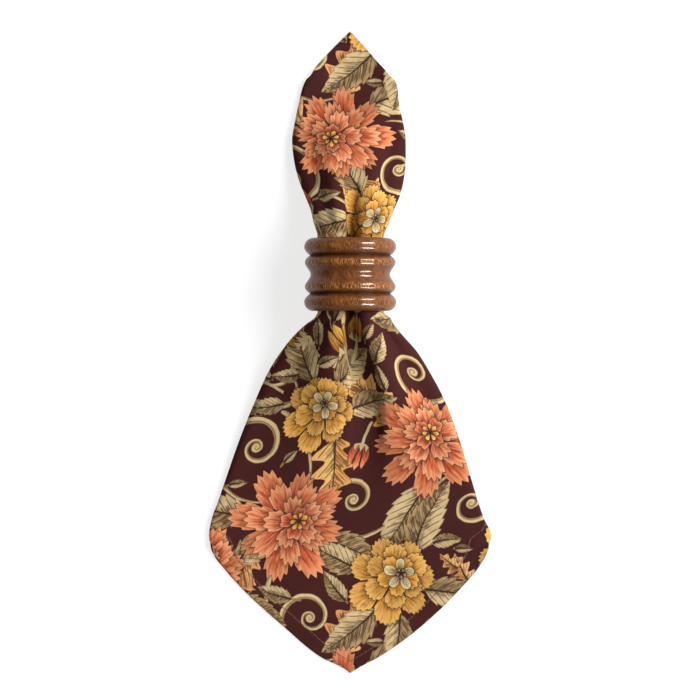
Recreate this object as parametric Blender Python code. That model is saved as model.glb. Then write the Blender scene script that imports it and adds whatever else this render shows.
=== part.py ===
"""A printed cotton napkin, folded square and gathered point up through a turned wooden ring.

The piece lies on its back: X runs across, Y along it from the long lower point to the short
upper leaf, and Z up from the surface that it rests on. The origin is under the middle of the
whole, on that surface. Lengths in this file are in millimetres until a mesh is made.

napkin  a square of cloth hemmed on its edges and folded in quarters, so that four layers lie
        together as one sheet. Held by its two points, its sides are tucked back and forth
        under the front, and the bundle fills the ring.
ring    a short turned tube with two wide end beads, two narrow beads and a cove between them.
"""

import math

import bmesh
import bpy
import numpy as np

MM = 0.001

# --- driving dimensions, in millimetres ---------------------------------------------------

CLOTH = 1.5  # four layers of cotton, with the air between them
AIR = 0.4  # least clear space between one tuck and the next
SPACING = CLOTH + AIR
LEAST_BEND = 1.0  # radius of the tightest bend, on the middle of the sheet
WIDEST_PITCH = 2.6  # from one tuck to the next, where there is height to spare

RING_MIDDLE = 38.8  # place of the ring along Y
RING_LENGTH = 36.8
RING_RADIUS = 22.7  # over the wide end beads
BORE_RADIUS = 17.2
MOUTH_ROUND = 0.8  # where the bore meets the end faces
RING_SIDES = 40

VALLEY_X = 0.9  # the dip between the two front lobes runs a little right of the middle
VALLEY_DEPTH = 9.0  # at its deepest, at the ring
LEFT_CREST, RIGHT_CREST = 5.9, 7.0  # from the dip to the top of each lobe, at the ring
CREST_SPREAD = 0.25  # how much of the extra width beyond the ring moves the crest outwards
BUNDLE_HALF = 15.65  # half-width of the middle of the sheet inside the ring
INNER_CLEAR = 1.15  # from the line of the dip to the nearest tuck
SHOULDER = 0.45  # share of the edge's height above the widest point of the side
LONGEST_TURN = 1.6  # how far in a turn at the side may start, in shares of its height
LEAST_SLOPE = 1.2  # how far the front runs out for each millimetre that it falls
TURN_SHARE = 0.25  # of each tuck, the part that is its turn
MOST_TUCKS = 6
LEAST_STEP = 1.8  # along Y, between two sections of the table and of the turns
MERGE = 0.002  # points nearer than this are one

# One row for each section of the folded sheet, from the lower point to the upper one.
#   along   place along Y
#   left, right   half-widths of the outline
#   crest   height of the front lobes, dip how far the middle lies below them
#   edge    height of the front where it starts to turn under, under that of the lowest tuck
#   tucks   how many times the side runs back and forth below the front
#   steps   lofted sections from this row to the next
COLUMNS = ("along", "left", "right", "crest", "dip", "edge", "under", "tucks", "steps")
FLAT = CLOTH / 2
SECTIONS = (
    (-160.0, 0.0, 0.0, FLAT, 0.0, FLAT, FLAT, 0.00, 1),
    (-157.0, 3.8, 4.6, FLAT, 0.0, FLAT, FLAT, 0.00, 1),
    (-153.0, 12.4, 12.3, FLAT, 0.0, FLAT, FLAT, 0.00, 1),
    (-148.0, 19.5, 20.2, FLAT, 0.0, FLAT, FLAT, 0.00, 1),
    (-138.0, 31.0, 33.6, FLAT, 0.0, FLAT, FLAT, 0.00, 1),
    (-128.0, 42.5, 44.8, FLAT, 0.0, FLAT, FLAT, 0.00, 1),
    (-118.0, 53.0, 54.6, FLAT, 0.0, FLAT, FLAT, 0.00, 1),
    (-108.0, 62.0, 63.2, FLAT, 0.0, FLAT, FLAT, 0.00, 1),
    (-101.0, 67.3, 67.5, FLAT, 0.0, 1.2, FLAT, 0.00, 1),
    (-95.0, 69.9, 69.9, 0.8, 0.0, 2.75, FLAT, 0.00, 1),
    (-91.0, 70.4, 70.4, 1.1, 0.0, 2.8, FLAT, 0.25, 1),
    (-83.5, 69.2, 67.0, 2.0, 0.0, 3.1, FLAT, 0.36, 1),
    (-74.0, 65.8, 63.7, 3.5, 0.1, 3.5, FLAT, 0.52, 1),
    (-63.5, 62.2, 60.5, 5.6, 0.4, 4.0, FLAT, 0.70, 2),
    (-43.5, 55.2, 54.5, 11.0, 1.5, 5.4, FLAT, 1.10, 2),
    (-24.0, 47.3, 47.1, 17.2, 3.8, 7.8, 0.9, 1.80, 2),
    (-9.0, 40.4, 39.1, 22.8, 6.2, 11.6, 1.6, 2.60, 2),
    (1.0, 33.9, 32.7, 26.8, 7.7, 16.2, 2.8, 3.40, 1),
    (8.0, 28.2, 26.4, 30.0, 8.5, 21.5, 4.2, 4.20, 1),
    (13.5, 22.4, 21.8, 32.5, 8.9, 27.0, 5.8, 4.85, 1),
    (17.5, 17.2, 19.4, 34.2, 9.0, 32.4, 7.2, 5.30, 2),
    (20.4, 15.9, 16.3, 35.0, 9.0, 35.0, 8.0, 5.60, 1),
    (24.0, 16.3, 16.3, 35.0, 9.0, 35.0, 8.0, 5.90, 1),
    (54.0, 16.3, 16.3, 35.0, 9.0, 35.0, 8.0, 5.40, 1),
    (58.0, 16.2, 16.8, 34.4, 8.8, 34.2, 7.6, 4.90, 2),
    (63.0, 17.8, 18.8, 32.2, 7.6, 29.5, 6.2, 4.30, 1),
    (70.5, 19.6, 21.6, 28.0, 5.6, 22.5, 4.2, 3.30, 1),
    (78.0, 22.6, 24.8, 23.6, 3.6, 16.5, 2.5, 2.50, 1),
    (85.5, 25.5, 26.6, 19.2, 2.0, 12.0, 1.4, 1.90, 1),
    (95.5, 28.0, 27.7, 14.0, 0.8, 8.2, 0.9, 1.25, 2),
    (105.5, 29.0, 27.7, 9.6, 0.2, 6.0, FLAT, 0.90, 1),
    (115.5, 27.5, 26.2, 6.2, 0.0, 4.6, FLAT, 0.65, 1),
    (125.0, 25.5, 24.2, 3.8, 0.0, 3.6, FLAT, 0.42, 1),
    (131.0, 24.1, 23.7, 2.4, 0.0, 3.1, FLAT, 0.32, 1),
    (134.5, 22.8, 22.9, 1.6, 0.0, 2.95, FLAT, 0.25, 1),
    (138.0, 20.5, 20.4, 1.0, 0.0, 2.95, FLAT, 0.00, 1),
    (143.0, 16.4, 15.2, FLAT, 0.0, 1.1, FLAT, 0.00, 1),
    (152.5, 7.6, 6.9, FLAT, 0.0, FLAT, FLAT, 0.00, 1),
    (160.0, 0.0, 0.0, FLAT, 0.0, FLAT, FLAT, 0.00, 0),
)

# Columns of the mesh along one side, counted for each stretch of the sheet.
FRONT_STEPS = 3  # the dip's side, and again from the crest to the edge
SIDE_STEPS = 6
UNDER_STEPS = 1  # along the lowest tuck
TURN_STEPS = 3
LINE_STEPS = 1  # along each further tuck

# --- the section of the folded sheet ------------------------------------------------------


def smooth(x, xs, ys):
    """A curve through the points (xs, ys) that never swings past them."""
    gaps = np.diff(xs)
    rises = np.diff(ys) / gaps
    slopes = np.zeros(len(xs))
    for i in range(1, len(xs) - 1):
        if rises[i - 1] * rises[i] > 0:
            before, after = 2 * gaps[i] + gaps[i - 1], gaps[i] + 2 * gaps[i - 1]
            slopes[i] = (before + after) / (before / rises[i - 1] + after / rises[i])
    slopes[0], slopes[-1] = rises[0], rises[-1]
    i = int(np.clip(np.searchsorted(xs, x, side="right") - 1, 0, len(gaps) - 1))
    t = (x - xs[i]) / gaps[i]
    return float(
        ys[i] * (1 + 2 * t) * (1 - t) ** 2
        + ys[i + 1] * t * t * (3 - 2 * t)
        + gaps[i] * (slopes[i] * t * (1 - t) ** 2 - slopes[i + 1] * t * t * (1 - t))
    )


def section_at(along):
    """The named values of the table at one place along the piece."""
    table = np.array(SECTIONS)
    names = COLUMNS[1:-1]
    return {name: smooth(along, table[:, 0], table[:, i + 1]) for i, name in enumerate(names)}


class Side:
    """One side of a section: the middle of the sheet, from the dip outwards and then under."""

    def __init__(self, row, outline, crest_x):
        self.tucks = row["tucks"]
        turned = min(1.0, 2 * self.tucks / TURN_SHARE)
        self.half = outline - turned * CLOTH / 2
        extra = max(0.0, self.half - BUNDLE_HALF)
        self.crest = (min(crest_x + CREST_SPREAD * extra, 0.5 * self.half), row["crest"])
        self.dip = row["crest"] - row["dip"]
        self.under = row["under"]
        pitch = (self.dip - self.under) / (MOST_TUCKS + 1)
        self.pitch = min(WIDEST_PITCH, max(SPACING, pitch))
        self.inner = INNER_CLEAR + self.pitch / 2
        rise = row["edge"] - self.under
        self.upper, self.lower = SHOULDER * rise, (1 - SHOULDER) * rise
        self.wide = self.under + self.lower
        fall = abs(row["crest"] - row["edge"])
        slope = max(LEAST_SLOPE * fall, math.pi * math.sqrt(LEAST_BEND * fall / 2)) + AIR
        beside = max(0.0, self.half - self.crest[0] - slope)
        self.shoulder = min(beside, LONGEST_TURN * self.upper, self.upper**2 / LEAST_BEND)
        beside = max(0.0, self.half - self.inner - AIR)
        self.heel = min(beside, LONGEST_TURN * self.lower, self.lower**2 / LEAST_BEND)
        self.reach = [self.room(tuck) for tuck in range(1, MOST_TUCKS + 2)]

    def front(self, at):
        """From the dip (at = -2) over the crest (-1) to the edge (0)."""
        crest_x, crest_z = self.crest
        if at < -1:
            t = at + 2
            eased = (1 - math.cos(math.pi * t)) / 2
            return crest_x * t, self.dip + (crest_z - self.dip) * eased
        t = at + 1
        eased = (1 - math.cos(math.pi * t)) / 2
        edge_x, edge_z = self.half - self.shoulder, self.wide + self.upper
        return crest_x + (edge_x - crest_x) * t, crest_z + (edge_z - crest_z) * eased

    def turn_under(self, share):
        """From the front edge round the side to the lowest tuck."""
        angle = math.pi * share
        if share < 0.5:
            across, height = self.shoulder, self.upper
        else:
            across, height = self.heel, self.lower
        return (
            self.half - across + across * math.sin(angle),
            self.wide + height * math.cos(angle),
        )

    def room(self, tuck):
        """How far out the turn above this tuck may reach and stay clear of the side."""
        low = self.under + (tuck - 1) * self.pitch
        radius = self.pitch / 2
        side = [self.front(at) for at in np.linspace(-1, 0, 16)]
        side += [self.turn_under(share) for share in np.linspace(0, 1, 32)]
        side = np.array(side)
        angles = np.linspace(-math.pi / 2, math.pi / 2, 7)
        reach = self.half - SPACING
        step_in = 0.25
        while reach > self.inner + 2 * radius:
            arc_x = reach - radius + radius * np.cos(angles)
            arc_z = low + radius + radius * np.sin(angles)
            apart = np.hypot(arc_x[:, None] - side[:, 0], arc_z[:, None] - side[:, 1])
            if apart.min() >= SPACING + AIR:
                break
            reach -= step_in
        return reach - radius

    def point(self, at):
        """The sheet's middle at one place along it: below 0 the front, then one unit a tuck."""
        if at <= 0:
            return self.front(at)
        tuck = min(int(at), MOST_TUCKS)
        share = at - tuck
        if tuck == 0 and share <= TURN_SHARE:
            return self.turn_under(share / TURN_SHARE)
        height = self.under + tuck * self.pitch
        outer = self.reach[2 * (tuck // 2) - 1] if tuck else self.half - self.heel
        inward = tuck % 2 == 0
        if share < TURN_SHARE:
            radius = self.pitch / 2
            angle = math.pi * share / TURN_SHARE
            bulge = radius * math.sin(angle)
            start = outer + bulge if inward else self.inner - bulge
            return start, height - radius - radius * math.cos(angle)
        t = (share - TURN_SHARE) / (1 - TURN_SHARE)
        if inward:
            return outer + (self.inner - outer) * t, height
        outer = self.reach[tuck]
        return self.inner + (outer - self.inner) * t, height

    def heading(self, at):
        """The direction of the sheet there, as a unit vector."""
        step = 0.002
        (x0, z0), (x1, z1) = self.point(at - step), self.point(at + step)
        length = math.hypot(x1 - x0, z1 - z0)
        return (x1 - x0) / length, (z1 - z0) / length


def stretches():
    """Where the mesh has its columns along one side, in the units of Side.point."""
    places = list(np.linspace(-2, 0, 2 * FRONT_STEPS + 1))
    for tuck in range(MOST_TUCKS):
        turns, lines = (SIDE_STEPS, UNDER_STEPS) if tuck == 0 else (TURN_STEPS, LINE_STEPS)
        places += list(tuck + np.linspace(0, TURN_SHARE, turns + 1)[1:])
        places += list(tuck + np.linspace(TURN_SHARE, 1, lines + 1)[1:])
    return places


def side_points(row, outline, hand):
    """Points on the outer and inner faces of one side, ended where the cloth ends."""
    dip_x = VALLEY_X * row["dip"] / VALLEY_DEPTH
    side = Side(row, outline - hand * dip_x, RIGHT_CREST if hand > 0 else LEFT_CREST)
    outer, inner = [], []
    for place in stretches():
        at = min(place, side.tucks)
        x, z = side.point(at)
        level = side.tucks == 0 or place == -2
        run, rise = (1.0, 0.0) if level else side.heading(at)
        for face, sign in ((outer, 1), (inner, -1)):
            off = sign * CLOTH / 2
            face.append((dip_x + hand * (x - rise * off), z + run * off))
    return outer, inner


def section_loop(along):
    """One closed loop of points round the folded sheet's thickness."""
    row = section_at(along)
    outer_left, inner_left = side_points(row, row["left"], -1)
    outer_right, inner_right = side_points(row, row["right"], 1)
    loop = outer_left[::-1] + outer_right[1:] + inner_right[::-1] + inner_left[1:]
    return [(x, along, z) for x, z in loop]


def lofted_places():
    """Each place along Y that has a section.

    Besides the places from the table there is one wherever the end of the cloth comes to the
    start, the middle or the end of a turn, so that no turn is skipped between two sections.
    """
    fine = np.linspace(SECTIONS[0][0], SECTIONS[-1][0], 1601)
    tucks = np.array([section_at(along)["tucks"] for along in fine])
    places = []
    for tuck in range(MOST_TUCKS):
        for mark in (tuck, tuck + TURN_SHARE / 2, tuck + TURN_SHARE):
            above = tucks > mark
            places += [fine[i] for i in np.nonzero(above[1:] != above[:-1])[0]]
    for row, following in zip(SECTIONS, SECTIONS[1:]):
        for along in np.linspace(row[0], following[0], row[-1] + 1)[:-1]:
            if all(abs(along - other) > LEAST_STEP for other in places):
                places.append(along)
    return sorted(places + [SECTIONS[-1][0]])


# --- making the pieces --------------------------------------------------------------------


def finish(name, colour, roughness):
    """A plain material for one piece."""
    material = bpy.data.materials.new(name)
    material.use_nodes = True
    shader = material.node_tree.nodes["Principled BSDF"]
    shader.inputs["Base Color"].default_value = (*colour, 1.0)
    shader.inputs["Roughness"].default_value = roughness
    shader.inputs["Metallic"].default_value = 0.0
    return material


def place(name, bm, material, sharp_degrees):
    """An object of this name from the bmesh, shaded smooth but for its sharp edges."""
    mesh = bpy.data.meshes.new(name)
    bm.to_mesh(mesh)
    bm.free()
    mesh.materials.append(material)
    mesh.shade_smooth()
    mesh.set_sharp_from_angle(angle=math.radians(sharp_degrees))
    bpy.context.collection.objects.link(bpy.data.objects.new(name, mesh))


def make_napkin():
    bm = bmesh.new()
    loops = [
        [bm.verts.new([c * MM for c in point]) for point in section_loop(along)]
        for along in lofted_places()
    ]
    for loop, following in zip(loops, loops[1:]):
        for i, corner in enumerate(loop):
            bm.faces.new((corner, loop[i - 1], following[i - 1], following[i]))
    bmesh.ops.remove_doubles(bm, verts=bm.verts, dist=MERGE * MM)
    bmesh.ops.recalc_face_normals(bm, faces=bm.faces)
    place("napkin", bm, finish("printed cotton", (0.28, 0.13, 0.09), 0.85), 50)


def arc(middle, across, along, start, end, steps):
    """Points on part of an ellipse, from one angle to another, in degrees from outward."""
    points = []
    for angle in np.radians(np.linspace(start, end, steps + 1)):
        points.append(
            (middle[0] + along * math.sin(angle), middle[1] + across * math.cos(angle))
        )
    return points


def half_profile():
    """The ring's outline from the cove to the bore's mouth: place from its middle, radius."""
    end = RING_LENGTH / 2
    cove, groove, narrow = 19.6, 20.1, 22.4
    narrow_at, groove_at, wide_at = 6.2, 9.6, 13.8
    rim = 18.3
    points = []
    for t in np.linspace(0, 1, 6)[:-1]:
        rise = (1 - math.cos(math.pi * t)) / 2
        points.append((narrow_at * t, cove + (narrow - cove) * rise))
    points += arc((narrow_at, groove), narrow - groove, groove_at - narrow_at, 0, 90, 4)
    points += arc((wide_at, groove), RING_RADIUS - groove, wide_at - groove_at, -90, 0, 4)[1:]
    points += arc((wide_at, rim), RING_RADIUS - rim, end - wide_at, 0, 90, 5)[1:]
    corner = (end - MOUTH_ROUND, BORE_RADIUS + MOUTH_ROUND)
    points += arc(corner, MOUTH_ROUND, MOUTH_ROUND, 90, 180, 2)
    return points


def make_ring():
    half = half_profile()
    profile = [(-t, r) for t, r in half[:0:-1]] + half
    facet = math.pi / RING_SIDES
    height = RING_RADIUS * math.cos(facet)
    bm = bmesh.new()
    corners = []
    for t, r in profile:
        down = (r * math.sin(facet) * MM, (RING_MIDDLE + t) * MM, (height - r * math.cos(facet)) * MM)
        corners.append(bm.verts.new(down))
    edges = [bm.edges.new((corner, corners[i - 1])) for i, corner in enumerate(corners)]
    bmesh.ops.spin(
        bm,
        geom=corners + edges,
        cent=(0, RING_MIDDLE * MM, height * MM),
        axis=(0, 1, 0),
        angle=2 * math.pi,
        steps=RING_SIDES,
        use_merge=True,
    )
    bmesh.ops.remove_doubles(bm, verts=bm.verts, dist=MERGE * MM)
    bmesh.ops.recalc_face_normals(bm, faces=bm.faces)
    place("ring", bm, finish("varnished wood", (0.18, 0.075, 0.03), 0.35), 35)


def main():
    for thing in list(bpy.data.objects):
        bpy.data.objects.remove(thing)
    make_napkin()
    make_ring()


main()
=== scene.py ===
# %% [markdown]
# # A printed napkin in a turned wooden ring
#
# The object is a square cotton napkin, folded in quarters and drawn point up through a wooden
# ring. It lies on its back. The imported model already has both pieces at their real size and
# place. This script gives them their looks: a cloth made of its four real layers with a printed,
# woven finish, and a ring turned from brown wood and varnished.

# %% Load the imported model
import math
from functools import partial
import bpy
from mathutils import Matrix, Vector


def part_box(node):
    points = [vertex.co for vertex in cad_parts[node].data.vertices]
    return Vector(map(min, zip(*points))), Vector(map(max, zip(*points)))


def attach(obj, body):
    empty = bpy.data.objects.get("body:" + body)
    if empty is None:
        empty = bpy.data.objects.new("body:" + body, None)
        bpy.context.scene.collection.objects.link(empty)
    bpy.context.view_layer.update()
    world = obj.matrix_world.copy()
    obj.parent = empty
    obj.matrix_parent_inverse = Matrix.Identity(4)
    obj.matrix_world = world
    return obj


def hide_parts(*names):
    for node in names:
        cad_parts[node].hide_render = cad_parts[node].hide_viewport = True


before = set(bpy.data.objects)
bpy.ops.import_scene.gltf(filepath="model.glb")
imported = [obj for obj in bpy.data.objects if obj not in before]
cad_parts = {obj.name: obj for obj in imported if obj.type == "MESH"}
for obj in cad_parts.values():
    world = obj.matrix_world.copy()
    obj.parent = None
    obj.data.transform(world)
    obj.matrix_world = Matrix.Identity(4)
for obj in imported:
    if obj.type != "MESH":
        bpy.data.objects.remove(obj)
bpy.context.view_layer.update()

from types import SimpleNamespace

import bmesh
import bpy
import numpy as np
from mathutils import Matrix, Vector

MM = 0.001
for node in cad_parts:
    low, high = ([round(v / MM, 1) for v in corner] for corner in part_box(node))
    print(node, "lies from", low, "to", high)

# %% [markdown]
# ## The camera
#
# The piece is shown laid flat, from straight above. The camera is so high that the ring hardly
# leans over the cloth, and still low enough for the grooves of the ring to arch a little. The
# middle of the view is beside the middle of the piece, so the camera is moved and not shifted: a
# moved camera can be turned round the piece later with nothing to undo.

# %% Camera
VIEW_WIDTH = 347 * MM
VIEW_MIDDLE = Vector((-0.1, 1.2, 12.0)) * MM
CAMERA_DISTANCE = 1.8
SENSOR = 36.0

camera_data = bpy.data.cameras.new("camera")
camera_data.sensor_width = SENSOR
camera_data.lens = SENSOR * CAMERA_DISTANCE / VIEW_WIDTH
camera = bpy.data.objects.new("camera", camera_data)
camera.location = VIEW_MIDDLE + Vector((0, 0, CAMERA_DISTANCE))
bpy.context.collection.objects.link(camera)
bpy.context.scene.camera = camera
print("lens", round(camera_data.lens), "mm")

# %% [markdown]
# ## The fold
#
# Across the piece the folded cloth makes one curve: from the dip in the middle over a lobe on
# each side to the widest place, round and under, and then back and forth in tucks below the
# front. A table gives that curve's sizes at places along the piece, in millimetres, and a smooth
# curve runs between its rows. A simulation would have to find these folds by itself, but the
# ring pulls the cloth tight and the rest lies flat, so gravity shapes little of it. Sections put
# each tuck where a hand has folded it, and as the solid model has it.

# %% The sections of the fold
STACK = 1.5  # four layers of cotton, with the air between them
AIR = 0.4  # least clear space between one tuck and the next
FLAT = STACK / 2
# One row for each section, from the lower point to the upper one: place along the piece,
# half-widths of the outline, height of the lobes, depth of the dip between them, height of the
# front's edge and of the lowest tuck, and how many tucks the side makes.
COLUMNS = ("along", "left", "right", "crest", "dip", "edge", "under", "tucks")
LAID = (FLAT, 0.0, FLAT, FLAT, 0.0)  # where the stack just lies on the table
SECTIONS = (
    (-160.0, 0.0, 0.0, *LAID),
    (-157.0, 3.8, 4.6, *LAID),
    (-153.0, 12.4, 12.3, *LAID),
    (-148.0, 19.5, 20.2, *LAID),
    (-138.0, 31.0, 33.6, *LAID),
    (-128.0, 42.5, 44.8, *LAID),
    (-118.0, 53.0, 54.6, *LAID),
    (-108.0, 62.0, 63.2, *LAID),
    (-101.0, 67.3, 67.5, FLAT, 0.0, 1.2, FLAT, 0.00),
    (-95.0, 69.9, 69.9, 0.8, 0.0, 2.75, FLAT, 0.00),
    (-91.0, 70.4, 70.4, 1.1, 0.0, 2.8, FLAT, 0.25),
    (-83.5, 69.2, 67.0, 2.0, 0.0, 3.1, FLAT, 0.36),
    (-74.0, 65.8, 63.7, 3.5, 0.1, 3.5, FLAT, 0.52),
    (-63.5, 62.2, 60.5, 5.6, 1.2, 4.0, FLAT, 0.70),
    (-43.5, 55.2, 54.5, 11.0, 3.9, 5.4, FLAT, 1.10),
    (-24.0, 47.3, 47.1, 17.2, 6.9, 7.8, 0.9, 1.80),
    (-9.0, 40.4, 39.1, 22.8, 8.4, 11.6, 1.6, 2.60),
    (1.0, 33.9, 32.7, 26.8, 8.9, 16.2, 2.8, 3.40),
    (8.0, 28.2, 26.4, 30.0, 9.0, 21.5, 4.2, 4.20),
    (13.5, 22.4, 21.8, 32.5, 8.9, 27.0, 5.8, 4.85),
    (17.5, 17.2, 19.4, 34.2, 9.0, 32.4, 7.2, 5.30),
    (20.4, 15.9, 16.3, 35.0, 9.0, 35.0, 8.0, 5.60),
    (24.0, 16.3, 16.3, 35.0, 9.0, 35.0, 8.0, 5.90),
    (54.0, 16.3, 16.3, 35.0, 9.0, 35.0, 8.0, 5.40),
    (58.0, 16.2, 16.8, 34.4, 8.8, 34.2, 7.6, 4.90),
    (63.0, 17.8, 18.8, 32.2, 7.6, 29.5, 6.2, 4.30),
    (70.5, 19.6, 21.6, 28.0, 5.6, 22.5, 4.2, 3.30),
    (78.0, 22.6, 24.8, 23.6, 3.6, 16.5, 2.5, 2.50),
    (85.5, 25.5, 26.6, 19.2, 2.0, 12.0, 1.4, 1.90),
    (95.5, 28.0, 27.7, 14.0, 0.8, 8.2, 0.9, 1.25),
    (105.5, 29.0, 27.7, 9.6, 0.2, 6.0, FLAT, 0.90),
    (115.5, 27.5, 26.2, 6.2, 0.0, 4.6, FLAT, 0.65),
    (125.0, 25.5, 24.2, 3.8, 0.0, 3.6, FLAT, 0.42),
    (131.0, 24.1, 23.7, 2.4, 0.0, 3.1, FLAT, 0.32),
    (134.5, 22.8, 22.9, 1.6, 0.0, 2.95, FLAT, 0.25),
    (138.0, 20.5, 20.4, 1.0, 0.0, 2.95, FLAT, 0.00),
    (143.0, 16.4, 15.2, FLAT, 0.0, 1.1, FLAT, 0.00),
    (152.5, 7.6, 6.9, *LAID),
    (160.0, 0.0, 0.0, *LAID),
)


def smooth_between(x, xs, ys):
    """A curve through the points (xs, ys) that never swings past them."""
    gaps = np.diff(xs)
    rises = np.diff(ys) / gaps
    slopes = np.zeros(len(xs))
    for i in range(1, len(xs) - 1):
        if rises[i - 1] * rises[i] > 0:
            before, after = 2 * gaps[i] + gaps[i - 1], gaps[i] + 2 * gaps[i - 1]
            slopes[i] = (before + after) / (before / rises[i - 1] + after / rises[i])
    slopes[0], slopes[-1] = rises[0], rises[-1]
    i = np.clip(np.searchsorted(xs, x, side="right") - 1, 0, len(gaps) - 1)
    t = (x - xs[i]) / gaps[i]
    return (
        ys[i] * (1 + 2 * t) * (1 - t) ** 2
        + ys[i + 1] * t * t * (3 - 2 * t)
        + gaps[i] * (slopes[i] * t * (1 - t) ** 2 - slopes[i + 1] * t * t * (1 - t))
    )


TABLE = np.array(SECTIONS)


def column(name, along):
    """One size of the fold, at one place along the piece or at many."""
    return smooth_between(along, TABLE[:, 0], TABLE[:, COLUMNS.index(name)])


print("the fold has", len(SECTIONS), "named sections")

# %% [markdown]
# ## The valley and the side
#
# The ring pushes the front into a valley between two lobes. Near the ring its walls are steep
# and close together, and further down they lean back and run out to the right. Below the front
# the rest of the cloth goes back and forth in tucks that rest on each other. Both are drawn as
# lines in the section. A few sizes set each line, so a fold can be moved by changing one number,
# which a drape would not allow.

# %% The valley
# For the left and the right wall: from the dip to the wall, its steepest angle, and how much
# further out and flatter it stands for each millimetre by which the side is wider than the ring.
WALLS = {-1: (3.3, 80, 0.13, 0.4), 1: (2.7, 70, 0.18, 1.3)}
WALL_BEND, FLATTEST_WALL = 1.0, 34
BEND_POINTS, RISE_POINTS = 14, 30
TINY = 1e-9  # keeps the section at the tips, which has no width, from a division by nothing
# The share of the valley's depth that is wall, at places along the piece.
WALL_PLACES = np.array((-160.0, -56.0, -24.0, 0.0, 18.0, 60.0, 76.0, 94.0, 160.0))
WALL_SHARES = np.array((0.0, 0.0, 0.72, 0.8, 0.8, 0.74, 0.44, 0.0, 0.0))
# How far right of the middle the dip is: a little at the ring, and more where it runs out.
VALLEY_X, VALLEY_DEPTH = 0.9, 9.0
DRIFT_PLACES = np.array((-160.0, -96.0, -60.0, -31.0, -24.0, -9.0, 1.0, 12.0, 160.0))
DRIFTS = np.array((0.0, 0.0, 6.0, 8.2, 7.0, 3.6, 1.5, 0.0, 0.0))


def section_at(along):
    """The named sizes of the fold at one place along the piece."""
    row = {name: float(column(name, along)) for name in COLUMNS[1:]}
    row["wall"] = float(smooth_between(along, WALL_PLACES, WALL_SHARES)) * row["dip"]
    row["middle"] = VALLEY_X * row["dip"] / VALLEY_DEPTH
    row["middle"] += float(smooth_between(along, DRIFT_PLACES, DRIFTS))
    return row


def eased(share):
    """From 0 to 1, slow at both ends."""
    return (1 - np.cos(math.pi * share)) / 2


def lengths_along(x, z):
    """The distance along a line from its first point to each of its points."""
    return np.concatenate(([0.0], np.cumsum(np.hypot(np.diff(x), np.diff(z)))))


def valley_line(hand, crest, dip, wall, extra):
    """The dip's side as a fine line of floor, bend, wall, bend and lobe: shares of its length,
    across and up. The wall is one part of the depth, and a gentle rise over all the rest."""
    (at, steepest, spread, flatter), (crest_x, crest_z) = WALLS[hand], crest
    steepest = max(FLATTEST_WALL, steepest - flatter * extra)
    at = min(at + spread * extra, crest_x / 2)
    bend = min(WALL_BEND, crest_x / 4)
    turned = min(math.radians(steepest), math.acos(max(-1.0, 1 - wall / max(2 * bend, TINY))))
    straight = max(0.0, wall - 2 * bend * (1 - math.cos(turned)))
    lean = straight / math.tan(turned) if straight > 0 else 0.0
    start = at - lean / 2 - bend * math.sin(turned)
    angles = np.linspace(0, turned, BEND_POINTS)
    back = angles[::-1]
    x = [0.0, *(start + bend * np.sin(angles))]
    x = np.array([*x, *(x[-1] + lean + bend * (math.sin(turned) - np.sin(back))), crest_x])
    z = np.array([0.0, *(bend * (1 - np.cos(angles))), *(wall - bend * (1 - np.cos(back))), wall])
    fine = np.linspace(0, crest_x, RISE_POINTS)
    order = np.argsort(np.concatenate((x, fine)), kind="stable")
    z = np.concatenate((z, np.interp(fine, x, z)))[order]
    x = np.concatenate((x, fine))[order]
    z = dip + z + (crest_z - dip - wall) * eased(x / max(crest_x, AIR))
    lengths = lengths_along(x, z)
    return lengths / max(lengths[-1], TINY), x, z


print("the valley is", section_at(40.0)["dip"], "mm deep inside the ring")

# %% One side of a section
LEAST_BEND = 1.0  # radius of the stack's tightest bend
WIDEST_PITCH = 2.6  # from one tuck to the next, where there is height to spare
CRESTS = {-1: 5.9, 1: 7.0}  # from the dip to the top of the left and the right lobe, at the ring
CREST_SPREAD = 0.25  # how much of the extra width beyond the ring moves the crest outwards
BUNDLE_HALF = 15.65  # half-width of the bundle inside the ring
INNER_CLEAR = 1.15  # from the line of the dip to the nearest tuck
SHOULDER = 0.45  # share of the edge's height above the widest point of the side
LONGEST_TURN = 1.6  # how far in a turn at the side may start, in shares of its height
LEAST_SLOPE = 1.2  # how far the front runs out for each millimetre that it falls
TURN_SHARE = 0.25  # of each tuck, the part that is its turn
MOST_TUCKS = 6
SIDE_POINTS, TURN_POINTS, FINE_POINTS = 32, 7, 260


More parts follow.
